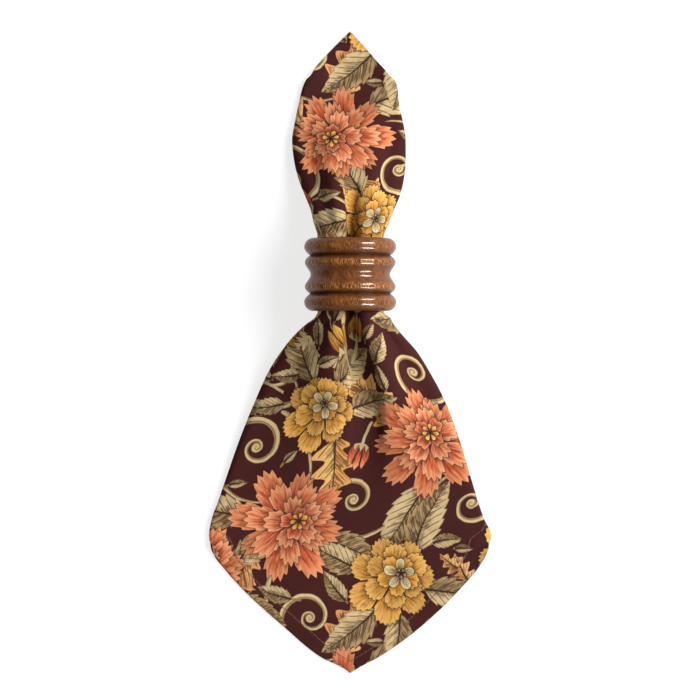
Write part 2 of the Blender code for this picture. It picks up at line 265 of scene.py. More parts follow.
class Side:
    """One side of a section: the middle of the sheet, from the dip outwards and then under.

    Places along it are counted from -2 at the dip and -1 at the crest of the lobe to 0 at the
    front's edge. From there each unit is one tuck, and starts with its turn.
    """

    def __init__(self, row, outline, hand):
        self.hand, self.tucks, self.under = hand, row["tucks"], row["under"]
        turned = min(1.0, 2 * self.tucks / TURN_SHARE)
        self.half = outline - turned * STACK / 2
        extra = max(0.0, self.half - BUNDLE_HALF)
        crest_x = min(CRESTS[hand] + CREST_SPREAD * extra, 0.5 * self.half)
        self.crest, dip = (crest_x, row["crest"]), row["crest"] - row["dip"]
        self.valley = valley_line(hand, self.crest, dip, row["wall"], extra)
        pitch = (dip - self.under) / (MOST_TUCKS + 1)
        self.pitch = min(WIDEST_PITCH, max(STACK + AIR, pitch))
        self.inner = INNER_CLEAR + self.pitch / 2
        rise = row["edge"] - self.under
        self.upper, self.lower = SHOULDER * rise, (1 - SHOULDER) * rise
        self.wide = self.under + self.lower
        fall = abs(row["crest"] - row["edge"])
        slope = max(LEAST_SLOPE * fall, math.pi * math.sqrt(LEAST_BEND * fall / 2)) + AIR
        self.shoulder = self.turn_width(crest_x + slope, self.upper)
        self.heel = self.turn_width(self.inner + AIR, self.lower)
        self.reach = [self.room(tuck) for tuck in range(1, MOST_TUCKS + 2)]

    def turn_width(self, taken, height):
        """How far in the turn at the side may start, beside what is taken."""
        beside = max(0.0, self.half - taken)
        return min(beside, LONGEST_TURN * height, height**2 / LEAST_BEND)

    def front(self, at):
        """From the dip over the crest to the edge."""
        (crest_x, crest_z), (share, valley_x, valley_z) = self.crest, self.valley
        t = np.clip(at + 1, 0, 1)
        edge_x, edge_z = self.half - self.shoulder, self.wide + self.upper
        x, z = crest_x + (edge_x - crest_x) * t, crest_z + (edge_z - crest_z) * eased(t)
        x = np.where(at < -1, np.interp(at + 2, share, valley_x), x)
        return x, np.where(at < -1, np.interp(at + 2, share, valley_z), z)

    def turn_under(self, share):
        """From the front's edge round the side to the lowest tuck."""
        angle = math.pi * share
        across = np.where(share < 0.5, self.shoulder, self.heel)
        height = np.where(share < 0.5, self.upper, self.lower)
        x = self.half - across + across * np.sin(angle)
        return x, self.wide + height * np.cos(angle)

    def room(self, tuck):
        """How far out the turn above this tuck may reach and stay clear of the side."""
        low, radius = self.under + (tuck - 1) * self.pitch, self.pitch / 2
        front = self.front(np.linspace(-1, 0, SIDE_POINTS // 2))
        side_x, side_z = np.hstack((front, self.turn_under(np.linspace(0, 1, SIDE_POINTS))))
        angles = np.linspace(-math.pi / 2, math.pi / 2, TURN_POINTS)[:, None]
        clear, step_in = STACK + 2 * AIR, 0.25
        reach = self.half - STACK - AIR
        while reach > self.inner + 2 * radius:
            arc_x = reach - radius + radius * np.cos(angles)
            arc_z = low + radius + radius * np.sin(angles)
            if np.hypot(arc_x - side_x, arc_z - side_z).min() >= clear:
                break
            reach -= step_in
        return reach - radius

    def tuck(self, at):
        """A place past the front's edge: round the side, or on one of the tucks."""
        number = min(int(at), MOST_TUCKS)
        share = at - number
        if number == 0 and share <= TURN_SHARE:
            return self.turn_under(share / TURN_SHARE)
        height = self.under + number * self.pitch
        outer = self.reach[2 * (number // 2) - 1] if number else self.half - self.heel
        inward = number % 2 == 0
        if share < TURN_SHARE:
            radius, angle = self.pitch / 2, math.pi * share / TURN_SHARE
            bulge = radius * math.sin(angle)
            start = outer + bulge if inward else self.inner - bulge
            return start, height - radius - radius * math.cos(angle)
        t = (share - TURN_SHARE) / (1 - TURN_SHARE)
        near, far = (outer, self.inner) if inward else (self.inner, self.reach[number])
        return near + (far - near) * t, height

    def points(self, places):
        """Across and up, for each of several places."""
        places = np.asarray(places, float)
        x, z = self.front(np.minimum(places, 0.0))
        for i in np.nonzero(places > 0)[0]:
            x[i], z[i] = self.tuck(places[i])
        return x, z

    def layer(self, places, off, middle):
        """Points of one layer at these places, ended where the cloth ends, and their lengths
        along the section from the dip. The dip is middle from the origin."""
        places = np.minimum(places, self.tucks)
        fine = np.unique(np.concatenate((np.linspace(-2, self.tucks, FINE_POINTS), places)))
        lengths = lengths_along(*self.points(fine))
        step = 0.002
        (x0, z0), (x1, z1) = self.points(places - step), self.points(places + step)
        level = (places <= -2) | (self.tucks == 0)
        run, rise = np.where(level, 1.0, x1 - x0), np.where(level, 0.0, z1 - z0)
        size = np.hypot(run, rise)
        x, z = self.points(places)
        across = middle + self.hand * (x - rise / size * off)
        return across, z + run / size * off, np.interp(places, fine, lengths), lengths[-1]


tried = section_at(-40.0)
print("a side reaches", round(Side(tried, tried["right"], 1).half, 1), "mm")

# %% [markdown]
# ## The cloth
#
# A quarter-folded napkin is one square sheet whose four quarters lie on each other. Seen from the
# leaf's tip, which is the middle of the square, the left edge joins the first layer to the second
# and the third to the fourth, and the right edge joins the second to the third and the first to
# the fourth. The lower edges are the open hems. So the mesh is one sheet: the four quarters
# follow the same sections, one cloth's thickness apart, and small rounds close the folds. Each
# point keeps where it lies on the flat square, and the print is laid on by that.

# %% Stations along the piece
SQUARE = 457.0  # the napkin laid flat: 18 inches
QUARTER = SQUARE / 2
DIAGONAL = QUARTER * math.sqrt(2)
STATION_GAP, HIDDEN_GAP, LEAST_GAP = 2.3, 6.0, 0.9
RING_SPAN = (24.0, 54.0)  # inside the ring the stations are further apart
MARK_STEP = 0.1  # of the search for marks


def turn_marks():
    """Where the end of the cloth meets the start, the middle or the end of a turn."""
    low, high = TABLE[0, 0], TABLE[-1, 0]
    fine = np.linspace(low, high, round((high - low) / MARK_STEP) + 1)
    marks = []
    for tuck in range(MOST_TUCKS):
        for mark in (tuck, tuck + TURN_SHARE / 2, tuck + TURN_SHARE):
            above = column("tucks", fine) > mark
            marks += list(fine[:-1][above[1:] != above[:-1]])
    return marks


def make_stations():
    """Places along the piece: evenly, and at every mark."""
    low, high, marks = TABLE[0, 0], TABLE[-1, 0], turn_marks()
    even = np.linspace(low, high, round((high - low) / STATION_GAP) + 1)
    places = [y for y in even if not RING_SPAN[0] < y < RING_SPAN[1]]
    places += list(np.arange(*RING_SPAN, HIDDEN_GAP))
    places = [y for y in places if all(abs(y - mark) > LEAST_GAP for mark in marks)]
    return np.array(sorted(places + marks))


stations = make_stations()
crest_line = column("crest", stations) - column("dip", stations) / 2
steps = np.hypot(np.diff(stations), np.diff(crest_line))
from_tip = np.concatenate((np.cumsum(steps[::-1])[::-1], [0.0])) * DIAGONAL / steps.sum()
print(len(stations), "stations; the front is", round(steps.sum(), 1), "mm from tip to tip")

# %% The four quarters
LAYERS, LAYER_STEP = 4, 0.38  # from the middle of one layer to the next
# How the quarters, from the top one, count the two sides of the square.
QUARTER_SIGNS = ((1, 1), (-1, 1), (-1, -1), (1, -1))
# How far each layer's hem stands out of the stack at the left and at the right, and where the
# hems show: between the lower point and the first tuck.
HEM_LAG = ((0.0, 0.0), (0.8, -0.3), (0.4, 0.35), (0.6, 0.1))
HEMS_SHOW = ((-160, -150, -96, -90), (0, 1, 1, 0))
# Columns from the dip to the crest, to the front's edge, round the side, along the lowest tuck,
# round each turn and along each further tuck. The top layer has the most, as it is the one seen.
SHOWN_STEPS, INNER_STEPS = (14, 14, 8, 3, 4, 2), (10, 6, 6, 2, 3, 1)
LEAST_DRAWN = 0.6  # least share by which the distance to a bowed hem is drawn out


def places_with(steps):
    """Places along a side, with so many steps on each of its stretches."""
    inner, outer, side, lowest, turn, line = steps
    places = list(np.linspace(-2, -1, inner + 1)) + list(np.linspace(-1, 0, outer + 1)[1:])
    for tuck in range(MOST_TUCKS):
        turns, lines = (side, lowest) if tuck == 0 else (turn, line)
        places += list(tuck + np.linspace(0, TURN_SHARE, turns + 1)[1:])
        places += list(tuck + np.linspace(TURN_SHARE, 1, lines + 1)[1:])
    return np.array(places)


def quarter_rows(number):
    """Rows of one layer: position in millimetres, place on the flat square, and distance to
    the hem."""
    places = places_with(INNER_STEPS if number else SHOWN_STEPS)
    off = LAYER_STEP * ((LAYERS - 1) / 2 - number)
    signs, rows = QUARTER_SIGNS[number], []
    for along, down in zip(stations, from_tip):
        row = section_at(along)
        reach = min(down, DIAGONAL - down)  # of the cloth, to each side on the flat square
        hemmed = np.interp(along, *HEMS_SHOW)
        halves = []
        for hand, side, lag in zip((-1, 1), ("left", "right"), HEM_LAG[number]):
            outline = row[side] - hand * row["middle"] + lag * hemmed
            x, z, s, end = Side(row, outline, hand).layer(places, off, row["middle"])
            a, b = (down + hand * s) / math.sqrt(2), (down - hand * s) / math.sqrt(2)
            # Towards the corner the lower hems bow out past the flat square's, so their
            # distance is drawn out with them.
            drawn = reach / end if down > DIAGONAL / 2 and end > 0 else 1.0
            to_hem = (QUARTER - (down + s * drawn) / math.sqrt(2)) / max(drawn, LEAST_DRAWN)
            y = np.full_like(x, along)
            halves.append(np.stack((x, y, z, signs[0] * a, signs[1] * b, to_hem), 1))
        rows.append(np.concatenate((halves[0][::-1], halves[1][1:])))
    return rows


quarters = [quarter_rows(number) for number in range(LAYERS)]
print("the quarters have", [quarter[0].shape[0] for quarter in quarters], "columns")

# %% One sheet
FOLD_ARC, FOLD_BULGE = 3, 0.22  # points round a fold, and how far it bulges, mm
# The pairs of layers that a fold joins, and the end of their rows where it lies.
FOLDS = ((0, 1, 0), (2, 3, 0), (1, 2, -1), (0, 3, -1))


def new_piece(bm, name):
    """An object of this name from a bmesh, with its place in its mesh."""
    mesh = bpy.data.meshes.new(name)
    bm.to_mesh(mesh)
    bm.free()
    piece = bpy.data.objects.new(name, mesh)
    bpy.context.collection.objects.link(piece)
    return piece


def close_up(bm, nearer):
    """Merges corners that lie within this many millimetres, and turns all faces outwards."""
    bmesh.ops.remove_doubles(bm, verts=bm.verts, dist=nearer * MM)
    bmesh.ops.recalc_face_normals(bm, faces=bm.faces)


def fold_arc(first, second, inside):
    """Points that close a fold from one layer's end to the other's, away from the cloth."""
    middle, arm = (first + second) / 2, (first - second)[:3] / 2
    out = middle[:3] - inside[:3]
    out -= arm * np.dot(out, arm) / np.dot(arm, arm)
    out *= min(FOLD_BULGE, np.linalg.norm(arm)) / (np.linalg.norm(out) or 1.0)
    points = []
    for angle in np.linspace(0, math.pi, FOLD_ARC + 2)[1:-1]:
        point = middle.copy()
        point[:3] += arm * math.cos(angle) + out * math.sin(angle)
        points.append(point)
    return points


def make_sheet():
    """The four quarters with their folds closed. Each corner keeps its place when laid flat."""
    bm = bmesh.new()
    flat_layer = bm.verts.layers.float_vector.new("flat")

    def corner(point):
        vert = bm.verts.new(Vector(point[:3]) * MM)
        vert[flat_layer] = point[3:]
        return vert

    def weave(rows):
        """Faces between each row of corners and the next."""
        for row, following in zip(rows, rows[1:]):
            for i in range(len(row) - 1):
                bm.faces.new((row[i], row[i + 1], following[i + 1], following[i]))

    corners = [[[corner(p) for p in row] for row in rows] for rows in quarters]
    for rows in corners:
        weave(rows)
    folded = [i for i, down in enumerate(from_tip) if down <= DIAGONAL / 2]
    for first, second, end in FOLDS:
        nearer = 1 if end == 0 else -2
        strips = []
        for i in folded:
            one, other = quarters[first][i], quarters[second][i]
            between = fold_arc(one[end], other[end], (one[nearer] + other[nearer]) / 2)
            row = [corners[first][i][end], *map(corner, between), corners[second][i][end]]
            strips.append(row)
        weave(strips)
    close_up(bm, 0.004)
    return new_piece(bm, "napkin_cloth")


sheet = make_sheet()
print("the sheet without its thickness:", len(sheet.data.polygons), "faces")

# %% The thickness of the cloth
CLOTH = 0.30
SHARP_CUT = 62  # only the edges of the cut bend by more than this, in degrees


def smooth_faces(mesh, sharp_degrees):
    """Smooth shading, but for edges that bend by more than this."""
    mesh.shade_smooth()
    mesh.set_sharp_from_angle(angle=math.radians(sharp_degrees))


def give_thickness(piece, thickness):
    """Thickens a sheet about its middle, for good."""
    solid = piece.modifiers.new("thickness", "SOLIDIFY")
    solid.thickness = thickness
    solid.offset = 0.0
    seen = piece.evaluated_get(bpy.context.evaluated_depsgraph_get())
    made = bpy.data.meshes.new_from_object(seen)
    piece.modifiers.clear()
    piece.data = made


give_thickness(sheet, CLOTH * MM)
smooth_faces(sheet.data, SHARP_CUT)
sheet.data.calc_loop_triangles()
print("the cloth:", len(sheet.data.loop_triangles), "triangles")

# %% [markdown]
# ## The ring
#
# The ring is turned on a lathe from a small blank of brown hardwood: a round over each end, two
# wide beads, two narrow ones, and a cove between them. A lathe cuts one profile all the way
# round, and the spin operator does the same.

# %% Turned ring
RING_TRIM = 0.8  # the finished ring is this much shorter than the solid one, at its upper end
ring_low, ring_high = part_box("ring")
RING_MIDDLE = (ring_low.y + ring_high.y) / 2 / MM - RING_TRIM / 2
RING_END = ((ring_high.y - ring_low.y) / MM - RING_TRIM) / 2
RING_RADIUS, BORE_RADIUS, MOUTH_ROUND = 22.7, 17.2, 0.8
RING_AXIS = Vector((0, RING_MIDDLE, RING_RADIUS)) * MM
# Radius of the cove, the grooves, the narrow beads and the round of the end, and how far the
# crests and grooves lie from the ring's middle.
COVE, GROOVE, NARROW, RIM = 19.6, 19.8, 22.4, 18.3
NARROW_AT, GROOVE_AT, WIDE_AT = 6.1, 9.4, 13.5
BEAD_ROUND = 0.85  # 1 is a cosine, less is fuller at the crest
SHARP_GROOVE = 40  # edges that bend by more than this stay sharp, in degrees
RING_SIDES, COVE_STEPS, BEAD_STEPS, MOUTH_STEPS = 144, 12, 10, 5


def ellipse_part(at, radius, along, across, start, end, steps):
    """Part of an ellipse on the profile, from one angle to another, counted from outwards."""
    angles = np.radians(np.linspace(start, end, steps + 1))
    return [(at + along * math.sin(a), radius + across * math.cos(a)) for a in angles]


def bead_side(crest_at, crest):
    """One side of a bead, from the groove to its crest: place from the middle, radius. The two
    beads meet in a groove that is open enough for a gouge."""
    shares = np.linspace(1, 0, BEAD_STEPS + 1)
    places = crest_at + (GROOVE_AT - crest_at) * shares
    rises = np.cos(math.pi * shares / 2).clip(0) ** BEAD_ROUND
    return list(zip(places, GROOVE + (crest - GROOVE) * rises))


def ring_profile():
    """From the middle of the cove to the mouth of the bore: place from the middle, radius."""
    shares = np.linspace(0, 1, COVE_STEPS + 1)[:-1]
    points = list(zip(NARROW_AT * shares, COVE + (NARROW - COVE) * eased(shares)))
    points += bead_side(NARROW_AT, NARROW)[::-1]
    points += bead_side(WIDE_AT, RING_RADIUS)[1:]
    end = (RING_END - WIDE_AT, RING_RADIUS - RIM)
    points += ellipse_part(WIDE_AT, RIM, *end, 0, 90, COVE_STEPS)[1:]
    mouth = (RING_END - MOUTH_ROUND, BORE_RADIUS + MOUTH_ROUND)
    points += ellipse_part(*mouth, MOUTH_ROUND, MOUTH_ROUND, 90, 180, MOUTH_STEPS)
    return points


def make_ring():
    half = ring_profile()
    profile = [(-at, radius) for at, radius in half[:0:-1]] + half
    bm = bmesh.new()
    corners = [bm.verts.new(RING_AXIS + Vector((0, at, radius)) * MM) for at, radius in profile]
    edges = [bm.edges.new((corner, corners[i - 1])) for i, corner in enumerate(corners)]
    turn = {"cent": RING_AXIS, "axis": (0, 1, 0), "angle": 2 * math.pi, "steps": RING_SIDES}
    bmesh.ops.spin(bm, geom=corners + edges, use_merge=True, **turn)
    close_up(bm, 0.002)
    return new_piece(bm, "turned_ring")


ring = make_ring()
smooth_faces(ring.data, SHARP_GROOVE)
print("ring:", len(ring.data.polygons), "faces")

# %% [markdown]
# ## The print
#
# The cotton carries a flowing floral of a common kind: layered red and yellow flowers, beige and
# brown leaves with toothed edges, buds, scrolls and thin stems on a dark ground. A textile
# printer lays it down from screens, one ink after another, so the lines are crisp and the tones
# are flat or finely streaked. An image would be the usual way. Here each kind of motif is drawn
# once, as a group of shader nodes in its own small frame, and a chart says where each one stands
# in the repeat. The lines stay sharp at any distance, and the motifs bend with the cloth.

# %% Nodes and colours
SECOND_WORDS = {"Mix": "data_type", "TexWhiteNoise": "noise_dimensions"}


def linear(hex_colour):
    """A colour from its sRGB hex value, with full alpha, in linear light."""
    channels = [int(hex_colour[i : i + 2], 16) / 255 for i in (1, 3, 5)]
    return (*(c / 12.92 if c <= 0.04045 else ((c + 0.055) / 1.055) ** 2.4 for c in channels), 1.0)


def add(tree, kind, *values, **settings):
    """Adds one node and gives its first output. A second word in kind is its operation, and a
    word in capitals alone is an operation of the Math node. The settings go in by name, and the
    values in the order of its sockets."""
    kind, _, second = kind.partition(" ")
    if kind.isupper():
        kind, second = "Math", kind
    node = tree.nodes.new("ShaderNode" + kind)
    if second:
        setattr(node, SECOND_WORDS.get(kind, "operation"), second)
    for name, value in settings.items():
        setattr(node, name, value)
    for socket, value in zip([socket for socket in node.inputs if socket.enabled], values):
        if isinstance(value, bpy.types.NodeSocket):
            tree.links.new(value, socket)
        elif value is not None:
            socket.default_value = value
    return next(socket for socket in node.outputs if socket.enabled)


def motif_group(name, inputs, paint):
    """A node group that paints one kind of motif over the colour below. paint gets a function
    that adds its nodes, and its inputs by name: a capital letter marks one that is a colour."""
    tree = bpy.data.node_groups.new(name, "ShaderNodeTree")
    for socket in inputs.split():
        kind = "NodeSocketColor" if socket[0].isupper() else "NodeSocketFloat"
        tree.interface.new_socket(socket, in_out="INPUT", socket_type=kind)
    tree.interface.new_socket("Colour", in_out="OUTPUT", socket_type="NodeSocketColor")
    given = tree.nodes.new("NodeGroupInput").outputs
    given = SimpleNamespace(**{socket: given[socket] for socket in inputs.split()})
    colour = paint(partial(add, tree), given)
    tree.links.new(colour, tree.nodes.new("NodeGroupOutput").inputs[0])
    print("painted", name, "with", len(tree.nodes), "nodes")
    return tree

# %% One ring of petals
OWN_STEPS = (31.0, 500.0)  # they give each petal of each flower and ring its own draw
SHORTEST, LENGTH_RANGE = 0.86, 0.22  # of the petals, in shares of the ring's radius
PETAL_ROUND = 2.6  # 2 is a round end, more is squarer
TIP_ZONE, BASE_ZONE = (0.0, 0.30), (0.25, 0.95)  # where one tone runs into the next
STREAKS, STREAK_SHIFT, STREAK_LONG = 15.0, 3.3, 4.5
SHADE_WIDE, SHADE_LEFT = 0.10, 0.62  # a painted shade, and the share of the colour it leaves


def paint_petals(node, at):
    """A ring of petals: outline, streaks, shade and tone. far and turn place a point in the
    flower, in shares of its radius and of a full turn."""
    spread = node("MULTIPLY_ADD", at.turn, at.count, at.phase)
    number = node("FLOORED_MODULO", node("FLOOR", spread), at.count)
    across = node("MULTIPLY_ADD", node("FRACT", spread), 2.0, -1.0)
    off = node("ABSOLUTE", across)
    own = node("MULTIPLY_ADD", at.seed, OWN_STEPS[0], number)
    own = node("MULTIPLY_ADD", at.phase, OWN_STEPS[1], own)
    chance = node("TexWhiteNoise 1D", node("ROUND", own))
    # Each petal has its own length, a rounded end and a ragged edge.
    reach = node("MULTIPLY", at.reach, node("MULTIPLY_ADD", chance, LENGTH_RANGE, SHORTEST))
    rounding = node("MULTIPLY", node("POWER", off, PETAL_ROUND), at.notch)
    edge = node("MULTIPLY", reach, node("SUBTRACT", 1.0, rounding))
    tooth = node("PINGPONG", node("MULTIPLY_ADD", across, at.teeth, chance), 0.5)
    edge = node("MULTIPLY_ADD", node("SUBTRACT", tooth, 0.25), at.fringe, edge)
    rim = node("SUBTRACT", edge, at.far)
    side = node("MULTIPLY", node("SUBTRACT", 1.0, off), at.far)
    side = node("MULTIPLY", node("DIVIDE", side, at.count), math.pi)
    least = node("MULTIPLY", at.line, 0.6)
    outline = node("MapRange", node("MINIMUM", rim, side), least, at.line, 0.95, 0.0)

    depth = node("DIVIDE", rim, at.reach)
    tone = node("Mix RGBA", node("MapRange", depth, *TIP_ZONE), at.Tip, at.Middle)
    tone = node("Mix RGBA", node("MapRange", depth, *BASE_ZONE), tone, at.Base)
    # Streaks run out from the middle, finer across than along.
    fan = node("MULTIPLY", node("MULTIPLY", at.turn, at.count), STREAKS)
    fan = node("MULTIPLY_ADD", number, STREAK_SHIFT, fan)
    place = node("CombineXYZ", fan, node("MULTIPLY", at.far, STREAK_LONG), at.seed)
    grain = node("TexNoise", place, 1.0, 2.0, 0.6)
    streak = node("MapRange", grain, 0.48, 0.62)
    streak = node("MULTIPLY", streak, node("MapRange", depth, 0.0, 0.5, 0.25, 0.95))
    tone = node("Mix RGBA", streak, tone, at.Base)
    tone = node("Mix RGBA", node("MapRange", grain, 0.46, 0.30, 0.0, 0.55), tone, at.Tip)
    value = node("MapRange", chance, 0.0, 1.0, 0.80, 1.12)
    tone = node("HueSaturation", 0.5, 1.0, value, 1.0, tone)
    tone = node("Mix RGBA", outline, tone, at.Line)
    # A petal throws a soft painted shade on what lies just outside its rim.
    shade = node("MapRange", rim, -SHADE_WIDE, 0.0, 1.0, SHADE_LEFT)
    shade = node("MAXIMUM", shade, node("LESS_THAN", at.reach, 0.01))
    below = node("Mix RGBA", shade, at.Line, at.Below)
    return node("Mix RGBA", node("GREATER_THAN", rim, 0.0), below, tone)


petals = motif_group(
    "petals",
    "Below Tip Middle Base Line far turn seed count phase reach notch fringe teeth line",
    paint_petals,
)

# %% A leaf
def swelling(node, along, lean, reach, fullness, wide):
    """How far a leaf or bud spreads at a place along it: it swells, and closes at its end."""
    swell = node("MULTIPLY", node("POWER", along, lean), math.pi * reach)
    swell = node("MAXIMUM", node("SINE", swell), 0.0)
    return node("MULTIPLY", node("POWER", swell, fullness), wide)


def stalk(node, at, off, half, start, end, ink):
    """A stalk that runs down from the motif, painted over what lies below."""
    inside = node("MULTIPLY", node("LESS_THAN", off, half), node("LESS_THAN", at.along, start))
    inside = node("MULTIPLY", inside, node("GREATER_THAN", at.along, end))
    return node("Mix RGBA", inside, at.Below, ink)


LEAF_SWELL = (0.72, 1.0, 0.85)
TOOTH_SLANT, TOOTH_SHIFT = 0.35, 0.45  # the teeth lean forwards, and the two sides differ
VEIN_SLANT, VEIN_SHIFT, VEIN_HALF = 1.15, 0.4, (0.06, 0.13)
VEIN_END = (0.72, 0.86)  # share of the half width where the veins fade
WASH = 5.0  # patches of the wash along a leaf
HATCHES = 5.0  # strokes of hatching to each vein
RIB_TO = 1.1  # the rib thins out from its full line towards here
LEAF_STALK, STALK_HALF = (0.05, -0.3), 0.95  # from, to, and half its width in lines


def paint_leaf(node, at):
    """A leaf with its veins. along runs from its base (0) to its tip (1), and across is counted
    in shares of its length."""
    off = node("ABSOLUTE", at.across)
    upper = node("GREATER_THAN", at.across, 0.0)
    inside = node("GREATER_THAN", at.along, 0.0)
    inside = node("MULTIPLY", inside, node("LESS_THAN", at.along, 1.0))
    within = node("MINIMUM", node("MAXIMUM", at.along, 0.0), 1.0)
    half = swelling(node, within, *LEAF_SWELL, at.wide)
    # The teeth point forwards: each rises slowly and drops at once. Lobes rise and fall alike.
    phase = node("MULTIPLY", node("MULTIPLY_ADD", off, -TOOTH_SLANT, at.along), at.teeth)
    phase = node("MULTIPLY_ADD", upper, TOOTH_SHIFT, phase)
    wave = node("COSINE", node("MULTIPLY", phase, 2 * math.pi))
    tooth = node("Mix", at.lobe, node("FRACT", phase), node("MULTIPLY_ADD", wave, -0.5, 0.5))
    cut = node("MULTIPLY", node("SUBTRACT", 1.0, tooth), at.depth)
    half = node("MULTIPLY", half, node("SUBTRACT", 1.0, cut))
    rim = node("SUBTRACT", half, off)
    share = node("DIVIDE", off, node("MAXIMUM", half, 0.001))

    longways, sideways = (node("MULTIPLY", way, WASH) for way in (at.along, at.across))
    wash = node("TexNoise", node("CombineXYZ", longways, sideways, at.seed), 1.0, 3.0, 0.6)
    dark_side = node("MULTIPLY_ADD", wash, 1.6, node("MULTIPLY", upper, 0.55))
    dark_side = node("MapRange", dark_side, 0.7, 1.55)
    tone = node("Mix RGBA", dark_side, at.Pale, at.Middle)
    # The side veins slant forwards from the rib, and hatching fills the space next to it.
    slant = node("MULTIPLY", node("MULTIPLY_ADD", off, -VEIN_SLANT, at.along), at.veins)
    vein = node("PINGPONG", node("MULTIPLY_ADD", upper, VEIN_SHIFT, slant), 0.5)
    vein = node("MapRange", vein, *VEIN_HALF, 0.8, 0.0)
    vein = node("MULTIPLY", vein, node("MapRange", share, *VEIN_END, 1.0, 0.0))
    fine, fan = node("MULTIPLY", slant, HATCHES), node("MULTIPLY", share, 1.6)
    hatch = node("TexNoise", node("CombineXYZ", fine, fan, at.seed), 1.0, 1.0, 0.5)
    close = node("SUBTRACT", node("MULTIPLY_ADD", upper, 0.35, wash), share)
    close = node("MapRange", close, 0.0, 0.3, 0.0, 0.8)
    hatch = node("MULTIPLY", node("MapRange", hatch, 0.45, 0.53), close)
    rib = node("MULTIPLY", at.line, node("SUBTRACT", RIB_TO, at.along))
    rib = node("LESS_THAN", off, rib)
    edge = node("MapRange", rim, node("MULTIPLY", at.line, 0.5), at.line, 1.0, 0.0)
    edge = node("MULTIPLY", edge, node("MULTIPLY_ADD", upper, 0.55, 0.4))
    drawn = node("MAXIMUM", node("MAXIMUM", vein, hatch), node("MAXIMUM", rib, edge))
    tone = node("Mix RGBA", node("MULTIPLY", drawn, 0.95), tone, at.Dark)
    stalk_half = node("MULTIPLY", at.line, STALK_HALF)
    below = stalk(node, at, off, stalk_half, *LEAF_STALK, at.Middle)
    cover = node("MULTIPLY", node("GREATER_THAN", rim, 0.0), inside)
    return node("Mix RGBA", cover, below, tone)


leaf = motif_group(
    "leaf",
    "Below Pale Middle Dark along across seed wide teeth depth veins lobe line",
    paint_leaf,
)

# %% A bud
BUD_SWELL, BUD_HALF = (0.6, 0.86, 0.8), 0.40
PEAK_GAP, PEAK_HIGH = 0.26, 0.42  # between two points of the petals, and their height
SEPAL_GAP, SEPAL_HIGH = 0.21, 0.34
SEAM_BOW, SEAM_OFF = 1.9, 0.135  # the seams between the petals, how they bend and how far off
UP_ZONE, END_ZONE = (0.25, 0.62), (0.58, 0.95)  # where one tone runs into the next
BUD_STREAKS = 13.0
BUD_STALK, BUD_STALK_HALF, STALK_BEND = (0.02, -0.8), 0.05, 0.18


def paint_bud(node, at):
    """A closed flower on its stalk. along runs from its base (0) to its tip (1), and across is
    counted in shares of its length."""
    off = node("ABSOLUTE", at.across)
    within = node("MINIMUM", node("MAXIMUM", at.along, 0.0), 1.0)
    half = swelling(node, within, *BUD_SWELL, BUD_HALF)
    # Three petals end in three points, and the middle one is the tallest.
    peaks = node("PINGPONG", node("MULTIPLY_ADD", off, 1 / PEAK_GAP, 0.5), 0.5)
    top = node("MULTIPLY_ADD", peaks, PEAK_HIGH, node("MULTIPLY_ADD", off, -0.30, 0.80))
    rim = node("MINIMUM", node("SUBTRACT", half, off), at.along)
    rim = node("MINIMUM", rim, node("SUBTRACT", top, at.along))
    seam = node("MULTIPLY", node("SINE", node("MULTIPLY", within, SEAM_BOW)), SEAM_OFF)
    seam = node("ABSOLUTE", node("SUBTRACT", off, seam))
    tone = node("Mix RGBA", node("MapRange", at.along, *UP_ZONE), at.Base, at.Middle)
    tone = node("Mix RGBA", node("MapRange", at.along, *END_ZONE), tone, at.Tip)
    fan = node("DIVIDE", at.across, node("ADD", half, 0.15))
    place = node("CombineXYZ", fan, node("MULTIPLY", at.along, 0.16), at.seed)
    streak = node("MapRange", node("TexNoise", place, BUD_STREAKS, 1.0, 0.5), 0.52, 0.60)
    fading = node("MapRange", at.along, 0.5, 0.95, 0.75, 0.1)
    tone = node("Mix RGBA", node("MULTIPLY", streak, fading), tone, at.Line)
    least = node("MULTIPLY", at.line, 0.5)
    drawn = node("MapRange", node("MINIMUM", rim, seam), least, at.line, 0.9, 0.0)
    tone = node("Mix RGBA", drawn, tone, at.Line)
    # Pointed sepals hold the base, and the stalk runs down from them.
    sepal = node("PINGPONG", node("MULTIPLY", off, 1 / SEPAL_GAP), 0.5)
    sepal = node("SUBTRACT", node("MULTIPLY_ADD", sepal, -0.55, SEPAL_HIGH), at.along)
    edge = node("MapRange", node("ABSOLUTE", sepal), least, at.line, 1.0, 0.0)
    green = node("Mix RGBA", edge, at.Green, at.Line)
    tone = node("Mix RGBA", node("GREATER_THAN", sepal, 0.0), tone, green)
    bend = node("MULTIPLY", node("MULTIPLY", at.along, at.along), STALK_BEND)
    bend = node("ABSOLUTE", node("SUBTRACT", at.across, bend))
    stalk_half = node("MULTIPLY", at.show, BUD_STALK_HALF)
    below = stalk(node, at, bend, stalk_half, *BUD_STALK, at.Green)
    cover = node("MULTIPLY", node("GREATER_THAN", rim, 0.0), at.show)
    return node("Mix RGBA", cover, below, tone)


bud = motif_group("bud", "Below Tip Middle Base Line Green along across seed line show", paint_bud)

# %% A stem or a scroll
SCROLL_GROWTH = 4.0  # how much wider a scroll is after each turn
SCROLL_TAIL = 1.9  # how far its tail reaches, in shares of its radius
SCROLL_EYE = 0.19  # radius of the round that it starts from
SCROLL_THICK = (0.10, 0.035)  # half its width grows by the first from the second
STEM_SPREAD = 0.17  # a stem runs this share of a full turn to each side
STEM_ENDS = 0.55  # and is this thin there


